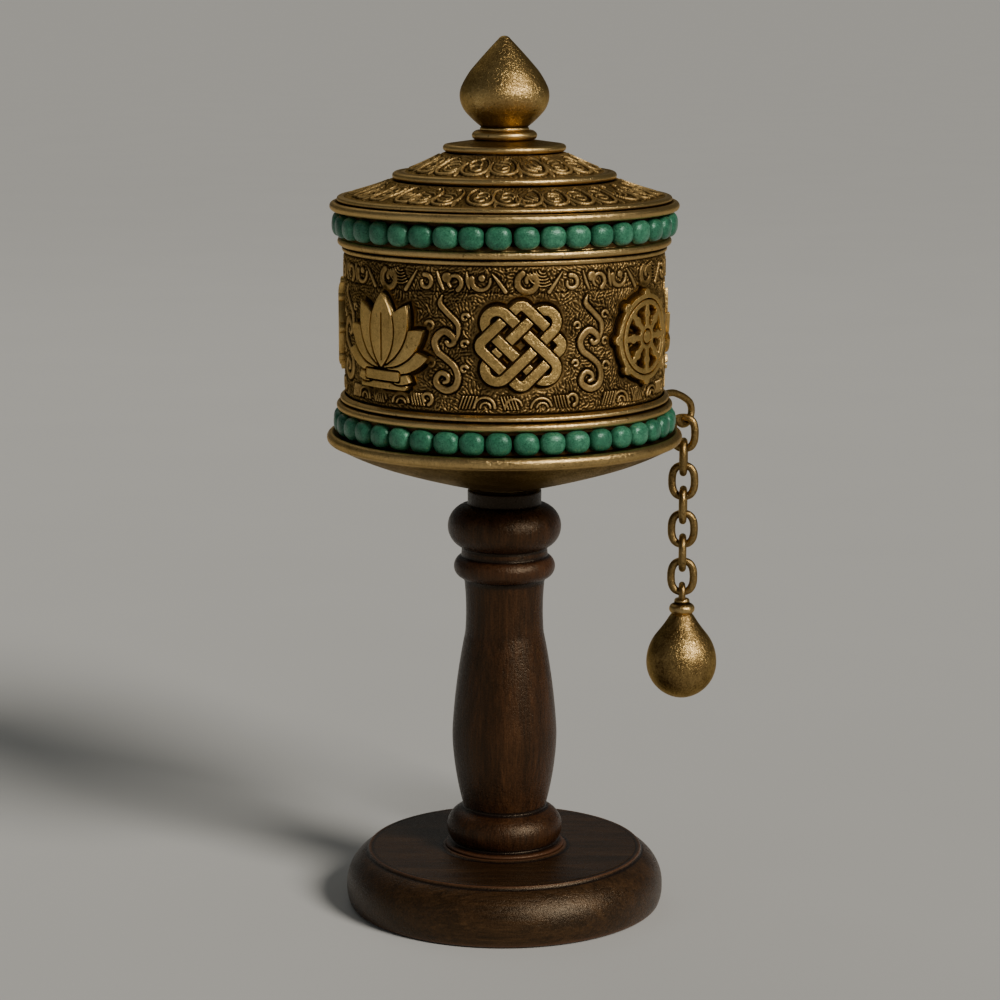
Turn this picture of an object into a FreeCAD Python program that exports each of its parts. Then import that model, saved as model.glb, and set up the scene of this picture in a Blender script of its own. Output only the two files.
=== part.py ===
import FreeCAD, Part
import math
import os

import Sketcher

# A hand-height prayer wheel on a turned wooden stand.
# Origin: centre of the face that rests on the table. +Z is up, +X to the right, -Y to the front.
# Every length is in millimetres and every angle in degrees.

doc = FreeCAD.newDocument("prayer_wheel")
sheet = doc.addObject("Spreadsheet::Sheet", "Sizes")

# Driving dimensions: alias, value, what it is.
DRIVERS = [
    ("base_radius", 39.6, "widest radius of the foot disc"),
    ("base_bottom", 0.35, "underside of the foot disc above the table"),
    ("base_top", 14.1, "flat top of the foot disc"),
    ("boss_top", 14.6, "top of the boss round the post"),
    ("pad_radius", 36.0, "felt pad radius"),
    ("pad_thick", 1.2, "felt pad thickness"),
    ("tenon_radius", 8.0, "tenon of the post in the disc"),
    ("tenon_base", 5.0, "underside of the tenon"),
    ("screw_radius", 2.0, "base screw shank radius"),
    ("screw_head", 4.2, "base screw head radius"),
    ("screw_tip", 26.0, "end of the base screw above the table"),
    ("neck_top", 104.8, "top face of the post"),
    ("axle_radius", 3.0, "steel axle radius"),
    ("axle_foot", 62.0, "lower end of the axle in the post"),
    ("axle_shoulder", 190.4, "shoulder that carries the finial collar"),
    ("thread_radius", 2.5, "thread of the axle in the finial"),
    ("thread_top", 204.0, "upper end of the axle"),
    ("bush_bore", 3.05, "bore radius of the bushes and the washer"),
    ("washer_radius", 8.6, "thrust washer radius"),
    ("washer_thick", 1.0, "thrust washer thickness"),
    ("dish_base", 105.85, "lowest face of the drum"),
    ("bush_flange", 9.4, "lower bush flange radius"),
    ("bush_radius", 5.6, "outside radius of both bushes"),
    ("drum_radius", 39.0, "outside radius of the drum wall"),
    ("wall_inside", 37.7, "inside radius of the drum wall"),
    ("wall_base", 119.8, "lower end of the drum wall"),
    ("wall_top", 173.6, "upper end of the drum wall"),
    ("band_radius", 39.6, "seat radius of the beads"),
    ("lower_collar_base", 125.5, "underside of the lower collar"),
    ("lower_collar_top", 129.3, "top of the lower collar"),
    ("upper_collar_base", 163.8, "underside of the upper collar"),
    ("upper_collar_top", 167.4, "top of the upper collar"),
    ("bead_count", 40, "beads in each ring"),
    ("bead_phase", 7.2, "angle of the first bead to the right of the front"),
    ("bead_half_width", 3.0, "half width of a bead along the ring"),
    ("bead_half_height", 2.72, "half height of a bead"),
    ("bead_stand", 2.4, "how far a bead stands out of its seat"),
    ("lower_bead_height", 122.55, "centre height of the lower beads"),
    ("upper_bead_height", 170.35, "centre height of the upper beads"),
    ("panel_count", 7, "emblems round the drum"),
    ("panel_phase", 5.5, "angle of the first emblem to the right of the front"),
    ("panel_height", 145.45, "centre height of the emblems"),
    ("panel_half", 11.4, "half height of an emblem"),
    ("panel_relief", 1.3, "how far an emblem stands out of the wall"),
    ("sheet_under_disc", 186.4, "underside of the lid sheet below its top disc"),
    ("disc_base", 187.6, "underside of the lid's top disc"),
    ("drum_top", 190.3, "highest face of the drum"),
    ("finial_base", 192.6, "underside of the finial"),
    ("total_height", 215.0, "height over the finial's tip"),
    ("core_radius", 6.5, "outside radius of the scroll core"),
    ("scroll_radius", 34.0, "outside radius of the rolled paper"),
    ("scroll_base", 121.0, "lower end of the rolled paper"),
    ("scroll_top", 173.0, "upper end of the rolled paper"),
    ("wire_radius", 0.9, "radius of the chain wire"),
    ("bend_radius", 2.85, "centreline radius of a link's ends"),
    ("link_straight", 2.3, "straight length of a link's sides"),
    ("link_pitch", 6.15, "height from link to link"),
    ("link_count", 7, "links in the chain"),
    ("first_link_height", 115.9, "centre height of the first link"),
    ("hang_right", 45.1, "chain position to the right of the axis"),
    ("hang_back", 18.6, "chain position behind the axis"),
    ("eye_radius", 3.25, "centreline radius of the chain eye"),
    ("eye_turn", 52.0, "direction of the chain eye's plane"),
    ("eye_arm_rise", 2.3, "rise of the eye's arm to the collar"),
    ("eye_arm_reach", 10.3, "level length of the eye's arm"),
    ("weight_radius", 8.95, "largest radius of the weight"),
    ("weight_bottom", 47.5, "lowest point of the weight"),
    ("weight_neck", 69.5, "top of the weight's drop"),
    ("weight_collar_top", 73.3, "top of the weight's collar"),
    ("weight_eye_radius", 1.9, "centreline radius of the weight's eye"),
]
for row, (alias, number, meaning) in enumerate(DRIVERS, start=1):
    sheet.set(f"A{row}", str(number))
    sheet.setAlias(f"A{row}", alias)
    sheet.set(f"B{row}", meaning)
doc.recompute()


def size(alias):
    """The number in a cell of the sheet."""
    return float(getattr(sheet, alias))


def number_of(entry):
    """A coordinate is a number, a cell's alias, or (alias, what is added to it)."""
    if isinstance(entry, str):
        return size(entry)
    if isinstance(entry, tuple):
        return size(entry[0]) + entry[1]
    return float(entry)


def formula_of(entry):
    """The expression that binds a coordinate to the sheet, or None for a plain number."""
    if isinstance(entry, str):
        return f"Sizes.{entry}"
    if isinstance(entry, tuple):
        return f"Sizes.{entry[0]} + ({entry[1]})"
    return None


def bind(thing, place, entry):
    """Set one property of an object from the sheet."""
    formula = formula_of(entry)
    thing.setExpression(place, formula if formula else str(float(entry)))


# ---------------------------------------------------------------- turned pieces

def fix_corner(sketch, edge, end, radius, height):
    """Hold one corner of an outline at its radius and height."""
    for axis, entry in (("DistanceX", radius), ("DistanceY", height)):
        number = number_of(entry)
        if abs(number) < 1e-9:
            held_by = -2 if axis == "DistanceX" else -1
            sketch.addConstraint(Sketcher.Constraint("PointOnObject", edge, end, held_by))
            continue
        index = sketch.addConstraint(Sketcher.Constraint(axis, -1, 1, edge, end, number))
        if formula_of(entry):
            sketch.setExpression(f"Constraints[{index}]", formula_of(entry))


def arc_edge(start, end, rise):
    """An arc between two points; rise is its height over the chord, to the right of the way along."""
    chord = end - start
    half = chord.Length / 2
    side = FreeCAD.Vector(chord.y, -chord.x, 0).normalize()
    radius = (half * half + rise * rise) / (2 * abs(rise))
    centre = (start + end) * 0.5 - side * math.copysign(radius - abs(rise), rise)
    first, last = (start, end) if rise > 0 else (end, start)
    angles = [math.atan2(point.y - centre.y, point.x - centre.x) for point in (first, last)]
    if angles[1] < angles[0]:
        angles[1] += 2 * math.pi
    circle = Part.Circle(centre, FreeCAD.Vector(0, 0, 1), radius)
    return Part.ArcOfCircle(circle, angles[0], angles[1])


def turned(name, outline):
    """A lathe-turned piece: a closed outline of (radius, height) or (radius, height, rise) corners.

    rise bulges the edge that leads to that corner into an arc.
    """
    body = doc.addObject("PartDesign::Body", f"{name}_body")
    body.Label = name
    plane = [item for item in body.Origin.OriginFeatures if item.Role == "XZ_Plane"][0]
    sketch = body.newObject("Sketcher::SketchObject", f"{name}_outline")
    sketch.AttachmentSupport = [(plane, "")]
    sketch.MapMode = "FlatFace"
    points = [FreeCAD.Vector(number_of(c[0]), number_of(c[1]), 0) for c in outline]
    corners = []
    for index, corner in enumerate(outline):
        start = points[index - 1]
        end = points[index]
        rise = corner[2] if len(corner) > 2 else 0.0
        if rise:
            edge = sketch.addGeometry(arc_edge(start, end, rise), False)
            sketch.addConstraint(Sketcher.Constraint("Radius", edge, sketch.Geometry[edge].Radius))
            corners.append((edge, 1, 2) if rise > 0 else (edge, 2, 1))
        else:
            edge = sketch.addGeometry(Part.LineSegment(start, end), False)
            corners.append((edge, 1, 2))
    for index, (edge, first, last) in enumerate(corners):
        before, _, before_last = corners[index - 1]
        sketch.addConstraint(Sketcher.Constraint("Coincident", before, before_last, edge, first))
    for index, (edge, first, last) in enumerate(corners):
        fix_corner(sketch, edge, last, outline[index][0], outline[index][1])
    spin = body.newObject("PartDesign::Revolution", f"{name}_turned")
    spin.Profile = sketch
    spin.ReferenceAxis = (sketch, ["V_Axis"])
    spin.Angle = 360
    body.Tip = spin
    return body


def tube(name, outer, inner, bottom, height):
    """A plain ring: an outer cylinder with an inner one cut out of it."""
    parts = []
    for suffix, radius in (("outside", outer), ("bore", inner)):
        cylinder = doc.addObject("Part::Cylinder", f"{name}_{suffix}")
        bind(cylinder, "Radius", radius)
        cylinder.setExpression("Height", height)
        bind(cylinder, "Placement.Base.z", bottom)
        parts.append(cylinder)
    ring = doc.addObject("Part::Cut", f"{name}_ring")
    ring.Base, ring.Tool = parts
    ring.Label = name
    return ring


pieces = []

# The stand: pad, foot disc, screw, post, axle, washer and the fixed finial.

pad = doc.addObject("Part::Cylinder", "felt_pad_disc")
bind(pad, "Radius", "pad_radius")
bind(pad, "Height", "pad_thick")
pad.Label = "felt_pad"
pieces.append(pad)

pieces.append(turned("base_disc", [
    ("screw_radius", ("pad_thick", 2.6)),
    ("screw_head", "pad_thick"),
    ("pad_radius", "pad_thick"),
    ("pad_radius", "base_bottom"),
    (38.8, "base_bottom"),
    ("base_radius", 4.4, 0.25),
    (34.4, 13.3, 1.55),
    (34.2, 13.9),
    (33.6, "base_top"),
    (15.6, "base_top"),
    (15.2, "boss_top", 0.08),
    ("tenon_radius", "boss_top"),
    ("tenon_radius", "tenon_base"),
    ("screw_radius", "tenon_base"),
]))

pieces.append(turned("base_screw", [
    (0, "pad_thick"),
    ("screw_head", "pad_thick"),
    ("screw_radius", ("pad_thick", 2.6)),
    ("screw_radius", ("screw_tip", -3.0)),
    (0, "screw_tip"),
]))

pieces.append(turned("post", [
    ("screw_radius", "tenon_base"),
    ("tenon_radius", "tenon_base"),
    ("tenon_radius", "boss_top"),
    (14.6, "boss_top"),
    (14.4, 15.5, 0.2),
    (13.1, 16.0),
    (10.9, 24.3, 2.3),
    (10.3, 24.7),
    (12.85, 39.5, 0.35),
    (12.85, 46.5, 0.15),
    (9.75, 69.0, 0.38),
    (9.9, 82.0, -0.3),
    (10.3, 82.9),
    (10.7, 88.5, 2.0),
    (10.6, 89.8),
    (10.5, 90.6),
    (9.05, 101.4, 4.2),
    (9.1, "neck_top"),
    ("axle_radius", "neck_top"),
    ("axle_radius", "axle_foot"),
    (0, "axle_foot"),
    (0, "screw_tip"),
    ("screw_radius", ("screw_tip", -3.0)),
]))

pieces.append(turned("axle", [
    (0, "axle_foot"),
    ("axle_radius", "axle_foot"),
    ("axle_radius", "axle_shoulder"),
    ("thread_radius", "axle_shoulder"),
    ("thread_radius", ("thread_top", -0.8)),
    (1.7, "thread_top"),
    (0, "thread_top"),
]))

pieces.append(tube("thrust_washer", "washer_radius", "bush_bore", "neck_top",
                   "Sizes.washer_thick"))

pieces.append(turned("finial_collar", [
    ("thread_radius", "axle_shoulder"),
    (7.3, "axle_shoulder"),
    (7.3, 192.3, 0.62),
    (6.4, "finial_base", 0.1),
    ("thread_radius", "finial_base"),
]))

pieces.append(turned("finial", [
    ("thread_radius", "finial_base"),
    (5.9, "finial_base"),
    (5.9, 193.2, 0.12),
    (5.6, 193.4),
    (9.0, 196.5, 0.12),
    (10.8, 200.7, 0.35),
    (8.1, 206.9, 0.5),
    (1.5, 214.2, 0.06),
    (0.6, 214.85, 0.06),
    (0, "total_height"),
    (0, ("thread_top", 0.6)),
    ("thread_radius", ("thread_top", 0.6)),
]))

# The drum: everything that turns on the axle.

pieces.append(turned("lower_bush", [
    ("bush_bore", "dish_base"),
    ("bush_flange", "dish_base"),
    ("bush_flange", ("dish_base", 1.2)),
    ("bush_radius", ("dish_base", 1.2)),
    ("bush_radius", 114.0),
    ("bush_bore", 114.0),
]))

pieces.append(turned("bottom_dish", [
    ("bush_flange", "dish_base"),
    (30.0, 111.7, 0.2),
    (42.0, 116.9, 0.3),
    (42.0, 117.6),
    (36.0, 118.6),
    (30.0, 113.4),
    ("bush_flange", ("dish_base", 2.4)),
    ("bush_radius", ("dish_base", 2.4)),
    ("bush_radius", ("dish_base", 1.2)),
    ("bush_flange", ("dish_base", 1.2)),
]))

pieces.append(turned("bottom_rim_ring", [
    (36.0, 118.6),
    (42.0, 117.6),
    (42.0, 117.0),
    (42.2, "wall_base", 1.35),
    (36.0, "wall_base"),
]))

pieces.append(tube("drum_shell", "drum_radius", "wall_inside", "wall_base",
                   "Sizes.wall_top - Sizes.wall_base"))

pieces.append(tube("lower_bead_band", "band_radius", "drum_radius", "wall_base",
                   "Sizes.lower_collar_base - Sizes.wall_base"))

pieces.append(turned("lower_collar_ring", [
    ("drum_radius", "lower_collar_base"),
    (40.2, "lower_collar_base"),
    (40.2, 127.3, 0.75),
    (39.7, 127.6),
    (39.7, 128.9, 0.45),
    ("drum_radius", "lower_collar_top"),
]))

pieces.append(turned("upper_collar_ring", [
    ("drum_radius", "upper_collar_base"),
    (39.1, 164.9, 0.2),
    (39.5, 165.2),
    (39.6, 167.2, 0.8),
    (39.5, "upper_collar_top"),
    ("drum_radius", "upper_collar_top"),
]))

pieces.append(tube("upper_bead_band", "band_radius", "drum_radius", "upper_collar_top",
                   "Sizes.wall_top - Sizes.upper_collar_top"))

pieces.append(turned("lid_rim_ring", [
    ("wall_inside", "wall_top"),
    (41.2, "wall_top"),
    (41.4, 175.8, 1.3),
    (40.1, 175.9),
    (39.8, 177.1, 0.58),
    (38.9, 177.2),
    ("wall_inside", 175.8),
]))

pieces.append(turned("lid_dome", [
    ("wall_inside", 175.8),
    (38.9, 177.2),
    (27.0, 181.1, -0.3),
    (26.0, 181.7),
    (25.2, 182.9),
    (14.3, "disc_base", -0.15),
    ("bush_radius", "disc_base"),
    ("bush_radius", "sheet_under_disc"),
    (13.7, "sheet_under_disc"),
    (24.6, 181.7, 0.15),
    (25.2, 180.6),
    (26.6, 179.9),
]))

pieces.append(turned("lid_mid_ring", [
    (27.0, 181.1),
    (26.3, 182.9, 0.8),
    (25.2, 182.9),
    (26.0, 181.7),
]))

pieces.append(turned("lid_top_disc", [
    ("bush_radius", "disc_base"),
    (14.0, "disc_base"),
    (14.0, 189.35, 0.8),
    (13.0, 189.6),
    (7.4, "drum_top"),
    ("bush_radius", "drum_top"),
]))

pieces.append(turned("upper_bush", [
    ("bush_bore", 183.0),
    (("bush_radius", 2.4), 183.0),
    (("bush_radius", 2.4), "sheet_under_disc"),
    ("bush_radius", "sheet_under_disc"),
    ("bush_radius", ("drum_top", -0.1)),
    ("bush_bore", ("drum_top", -0.1)),
]))

pieces.append(tube("scroll_core", "core_radius", ("axle_radius", 0.4), 114.0, "183 - 114"))
pieces.append(tube("prayer_scroll", "scroll_radius", "core_radius", "scroll_base",
                   "Sizes.scroll_top - Sizes.scroll_base"))


# ---------------------------------------------------------------- beads

def bead_ring(name, centre_height):
    """A ring of cabochons: each is the part of an ellipsoid that stands out of the seat band."""
    seat = Part.makeCylinder(size("band_radius"), 20, FreeCAD.Vector(0, 0, centre_height - 10))
    stretch = FreeCAD.Matrix()
    stretch.scale(size("bead_half_width"), size("bead_stand"), size("bead_half_height"))
    stone = Part.makeSphere(1.0).transformGeometry(stretch)
    stone.translate(FreeCAD.Vector(0, -size("band_radius"), centre_height))
    stone = stone.cut(seat)
    ring = []
    for number in range(int(size("bead_count"))):
        turn = size("bead_phase") + number * 360.0 / size("bead_count")
        ring.append(stone.rotated(FreeCAD.Vector(), FreeCAD.Vector(0, 0, 1), turn))
    beads = doc.addObject("Part::Feature", f"{name}_stones")
    beads.Shape = Part.makeCompound(ring)
    beads.Label = name
    return beads


pieces.append(bead_ring("lower_beads", size("lower_bead_height")))
pieces.append(bead_ring("upper_beads", size("upper_bead_height")))


# ---------------------------------------------------------------- emblems on the drum

# Emblems are drawn flat, as plates in the XZ plane in front of the drum, and then cut to the
# curved layer that stands out of the wall.

PLATE_FRONT = -50.0  # the flat plates start in front of the drum
PLATE_DEPTH = 30.0   # and reach back through its front wall


def disc_plate(radius, right=0.0, up=0.0):
    """A round plate."""
    centre = FreeCAD.Vector(right, PLATE_FRONT, up)
    return Part.makeCylinder(radius, PLATE_DEPTH, centre, FreeCAD.Vector(0, 1, 0))


def bar_plate(length, width, angle, right=0.0, up=0.0):
    """A straight bar, centred on a point and turned in the plate's plane."""
    corner = FreeCAD.Vector(-length / 2, PLATE_FRONT, -width / 2)
    bar = Part.makeBox(length, PLATE_DEPTH, width, corner)
    bar.rotate(FreeCAD.Vector(), FreeCAD.Vector(0, 1, 0), -angle)
    bar.translate(FreeCAD.Vector(right, 0, up))
    return bar


def petal_plate(length, width, angle, up):
    """A pointed petal: what two round plates share, standing on a point and leaning by an angle."""
    radius = (length * length + width * width) / (4 * width)
    offset = radius - width / 2
    petal = disc_plate(radius, -offset, length / 2).common(disc_plate(radius, offset, length / 2))
    petal.rotate(FreeCAD.Vector(), FreeCAD.Vector(0, 1, 0), angle)
    petal.translate(FreeCAD.Vector(0, 0, up))
    return petal


def wheel_emblem(half):
    """An eight-spoked wheel: rim, hub and spokes with round ends."""
    wheel = disc_plate(half).cut(disc_plate(half * 0.76))
    parts = [disc_plate(half * 0.3)]
    for spoke in range(4):
        parts.append(bar_plate(half * 1.8, half * 0.17, spoke * 45.0))
    return wheel.multiFuse(parts)


def knot_emblem(half):
    """An endless knot: a diagonal lattice of straps with a square outline."""
    strap = half * 0.2
    step = half * 0.48
    parts = []
    for slant in (45.0, -45.0):
        for row in (-1, 0, 1):
            shift = row * step * math.sin(math.radians(45.0))
            sign = 1 if slant > 0 else -1
            parts.append(bar_plate(half * 1.62, strap, slant, shift * sign, -shift))
    frame = bar_plate(half * 1.36, half * 1.36, 45.0).cut(bar_plate(half * 1.0, half * 1.0, 45.0))
    return frame.multiFuse(parts)


def lotus_emblem(half):
    """A lotus flower: a fan of pointed petals on a short stem plate."""
    parts = []
    for lean in (-75.0, -50.0, -25.0, 25.0, 50.0, 75.0):
        parts.append(petal_plate(half * 1.35, half * 0.62, lean, -half * 0.55))
    parts.append(bar_plate(half * 1.4, half * 0.24, 0.0, 0.0, -half * 0.68))
    return petal_plate(half * 1.6, half * 0.72, 0.0, -half * 0.6).multiFuse(parts)


def vase_emblem(half):
    """A treasure vase: round belly, foot, neck, lip and a jewel on top."""
    parts = [
        bar_plate(half * 0.9, half * 0.2, 0.0, 0.0, -half * 0.88),
        bar_plate(half * 0.42, half * 0.4, 0.0, 0.0, -half * 0.7),
        bar_plate(half * 0.55, half * 0.36, 0.0, 0.0, half * 0.35),
        bar_plate(half * 1.1, half * 0.17, 0.0, 0.0, half * 0.52),
        petal_plate(half * 0.55, half * 0.4, 0.0, half * 0.45),
    ]
    return disc_plate(half * 0.62, 0.0, -half * 0.17).multiFuse(parts)


def emblem_ring(name):
    """All emblems, each bent to the drum by cutting its plate to the raised layer."""
    half = size("panel_half")
    low = size("panel_height") - half - 1
    tall = 2 * half + 2
    outer = Part.makeCylinder(size("drum_radius") + size("panel_relief"), tall,
                              FreeCAD.Vector(0, 0, low))
    inner = Part.makeCylinder(size("drum_radius"), tall, FreeCAD.Vector(0, 0, low))
    layer = outer.cut(inner)
    designs = [knot_emblem(half), wheel_emblem(half), lotus_emblem(half), vase_emblem(half)]
    solids = []
    for number in range(int(size("panel_count"))):
        plate = designs[number % len(designs)].copy()
        plate.translate(FreeCAD.Vector(0, 0, size("panel_height")))
        plate = plate.common(layer)
        turn = size("panel_phase") + number * 360.0 / size("panel_count")
        plate.rotate(FreeCAD.Vector(), FreeCAD.Vector(0, 0, 1), turn)
        solids.extend(plate.Solids)
    emblems = doc.addObject("Part::Feature", f"{name}_plates")
    emblems.Shape = Part.makeCompound(solids)
    emblems.Label = name
    return emblems


pieces.append(emblem_ring("emblems"))


# ---------------------------------------------------------------- chain

def half_ring(name, radius, wire, turned_over):
    """The bent end of a link: half a torus in an upright plane."""
    bend = doc.addObject("Part::Torus", name)
    bind(bend, "Radius1", radius)
    bind(bend, "Radius2", wire)
    bend.Angle3 = 180
    tilt = -90 if turned_over else 90
    bend.Placement.Rotation = FreeCAD.Rotation(FreeCAD.Vector(1, 0, 0), tilt)
    return bend


def chain_link(name, height, turn):
    """One stadium-shaped wire link: two bent ends and two straight sides."""
    top = half_ring(f"{name}_top", "bend_radius", "wire_radius", False)
    top.setExpression("Placement.Base.z", "Sizes.link_straight / 2")
    low = half_ring(f"{name}_low", "bend_radius", "wire_radius", True)
    low.setExpression("Placement.Base.z", "-Sizes.link_straight / 2")
    sides = []
    for suffix, sign in (("right", ""), ("left", "-")):
        side = doc.addObject("Part::Cylinder", f"{name}_{suffix}")
        bind(side, "Radius", "wire_radius")
        bind(side, "Height", "link_straight")
        side.setExpression("Placement.Base.x", f"{sign}Sizes.bend_radius")
        side.setExpression("Placement.Base.z", "-Sizes.link_straight / 2")
        sides.append(side)
    link = doc.addObject("Part::MultiFuse", f"{name}_wire")
    link.Shapes = [top, low] + sides
    link.Placement.Rotation = FreeCAD.Rotation(FreeCAD.Vector(0, 0, 1), turn)
    bind(link, "Placement.Base.x", "hang_right")
    bind(link, "Placement.Base.y", "hang_back")
    bind(link, "Placement.Base.z", height)
    link.Label = name
    return link


# Directions of the links' planes, from +X towards +Y: each link is about square to the last one.
LINK_TURNS = [-15.0, 84.0, -8.0, 84.0, -4.0, 86.0, -3.6]
HALF_LINK = size("link_straight") / 2 + size("bend_radius")  # centre of a link to its wire's middle
WIRE_SEAT = 2 * size("wire_radius") + 0.05  # two wires that hang in each other

for number in range(int(size("link_count"))):
    drop = -number * size("link_pitch")
    pieces.append(chain_link(f"link_{number + 1}", ("first_link_height", drop), LINK_TURNS[number]))

# The eye: a closed wire ring with an arm that rises to the lower collar.

eye_centre = size("first_link_height") + HALF_LINK - WIRE_SEAT + size("eye_radius")
eye_ring = doc.addObject("Part::Torus", "chain_eye_ring")
bind(eye_ring, "Radius1", "eye_radius")
bind(eye_ring, "Radius2", "wire_radius")
eye_ring.Placement.Rotation = FreeCAD.Rotation(FreeCAD.Vector(1, 0, 0), 90)
eye_arm = doc.addObject("Part::Cylinder", "chain_eye_arm")
bind(eye_arm, "Radius", "wire_radius")
eye_arm.setExpression("Height", "sqrt(Sizes.eye_arm_reach ^ 2 + Sizes.eye_arm_rise ^ 2)")
bind(eye_arm, "Placement.Base.z", "eye_radius")
eye_arm.Placement.Rotation = FreeCAD.Rotation(
    FreeCAD.Vector(0, 0, 1), FreeCAD.Vector(-size("eye_arm_reach"), 0, size("eye_arm_rise")))
eye = doc.addObject("Part::MultiFuse", "chain_eye_wire")
eye.Shapes = [eye_ring, eye_arm]
eye.Placement.Rotation = FreeCAD.Rotation(FreeCAD.Vector(0, 0, 1), size("eye_turn"))
bind(eye, "Placement.Base.x", "hang_right")
bind(eye, "Placement.Base.y", "hang_back")
eye.Placement.Base.z = eye_centre
eye.Label = "chain_eye"
pieces.append(eye)

# The weight: eye, collar and drop, all on the chain's own vertical line.

last_pivot = size("first_link_height") - (size("link_count") - 1) * size("link_pitch") - HALF_LINK

weight_eye = doc.addObject("Part::Torus", "weight_eye_ring")
bind(weight_eye, "Radius1", "weight_eye_radius")
bind(weight_eye, "Radius2", ("wire_radius", -0.1))
weight_eye.Placement.Rotation = FreeCAD.Rotation(FreeCAD.Vector(0, 1, 0), 90)
bind(weight_eye, "Placement.Base.x", "hang_right")
bind(weight_eye, "Placement.Base.y", "hang_back")
weight_eye.Placement.Base.z = last_pivot - 0.1
weight_eye.Label = "weight_eye"
pieces.append(weight_eye)

weight_pieces = [
    turned("weight_collar", [
        (0, "weight_neck"),
        (2.5, "weight_neck"),
        (2.5, 71.9, 0.75),
        (1.9, 72.2),
        (1.6, "weight_collar_top", 0.2),
        (0, "weight_collar_top"),
    ]),
    turned("weight_drop", [
        (0, "weight_bottom"),
        ("weight_radius", 56.9, 2.62),
        (6.2, 64.4, 0.7),
        (3.1, 68.8, -0.1),
        (2.5, "weight_neck"),
        (0, "weight_neck"),
    ]),
]
for piece in weight_pieces:
    bind(piece, "Placement.Base.x", "hang_right")
    bind(piece, "Placement.Base.y", "hang_back")
    pieces.append(piece)

# ---------------------------------------------------------------- checks and files

doc.recompute()
for thing in doc.Objects:
    for word in ("Invalid", "Error"):
        if word in thing.State:
            raise RuntimeError(f"{thing.Name} is {word}")

os.makedirs("parts", exist_ok=True)
for piece in pieces:
    shape = piece.Shape
    if shape.isNull() or not shape.isValid():
        raise RuntimeError(f"{piece.Label} has no valid shape")
    shape.exportStep(os.path.join("parts", piece.Label + ".step"))
    print(piece.Label, len(shape.Solids), "solid(s)", round(shape.Volume, 1), "mm3")
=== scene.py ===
"""A tabletop prayer wheel: chased bronze drum, turquoise beads, turned dark wood, chained weight.

Outlines are (radius, height) in millimetres, the height counted from the lowest point of the CAD
node that the piece stands for. Everything that Blender gets is in metres.
"""
import math
import random

import bmesh
import bpy
import numpy as np
from mathutils import Matrix, Vector


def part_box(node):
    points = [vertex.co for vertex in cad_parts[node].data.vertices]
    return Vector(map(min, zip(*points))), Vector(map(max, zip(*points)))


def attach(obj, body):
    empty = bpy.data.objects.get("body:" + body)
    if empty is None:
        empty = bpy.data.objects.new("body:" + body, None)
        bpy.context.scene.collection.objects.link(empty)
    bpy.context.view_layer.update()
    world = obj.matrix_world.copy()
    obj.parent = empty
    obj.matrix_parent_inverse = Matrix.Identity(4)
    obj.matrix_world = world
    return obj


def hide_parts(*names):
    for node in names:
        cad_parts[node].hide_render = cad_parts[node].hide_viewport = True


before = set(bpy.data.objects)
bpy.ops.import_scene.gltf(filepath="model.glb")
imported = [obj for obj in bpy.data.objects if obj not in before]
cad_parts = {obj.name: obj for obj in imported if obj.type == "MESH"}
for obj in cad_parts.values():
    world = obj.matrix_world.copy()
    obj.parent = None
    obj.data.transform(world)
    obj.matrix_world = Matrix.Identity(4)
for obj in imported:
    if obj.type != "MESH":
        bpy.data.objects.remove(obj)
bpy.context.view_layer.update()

MM = 0.001


def low(node):
    """Height of a CAD node's lowest point, in millimetres."""
    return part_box(node)[0].z / MM


def high(node):
    """Height of a CAD node's highest point, in millimetres."""
    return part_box(node)[1].z / MM


def reach(node):
    """Largest radius of a turned CAD node, in millimetres."""
    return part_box(node)[1].y / MM


def centre(node):
    """Middle of a CAD node's box, in millimetres."""
    lower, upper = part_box(node)
    return (lower + upper) * (0.5 / MM)


# ------------------------------------------------------------------ camera

CAMERA_BACK = 698.5    # camera in front of the wheel's axis, mm
CAMERA_HEIGHT = 232.0  # camera above the table, mm
CAMERA_DOWN = 10.53    # degrees below the horizon
FOCAL_LENGTH = 103.97  # mm on a 36 mm sensor

camera = bpy.data.objects.new("camera", bpy.data.cameras.new("camera"))
bpy.context.scene.collection.objects.link(camera)
camera.location = (0, -CAMERA_BACK * MM, CAMERA_HEIGHT * MM)
camera.rotation_euler = (math.radians(90 - CAMERA_DOWN), 0, 0)
camera.data.lens = FOCAL_LENGTH
camera.data.sensor_width = 36
camera.data.shift_x = -0.0045
bpy.context.scene.camera = camera


# ------------------------------------------------------------------ materials

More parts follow.
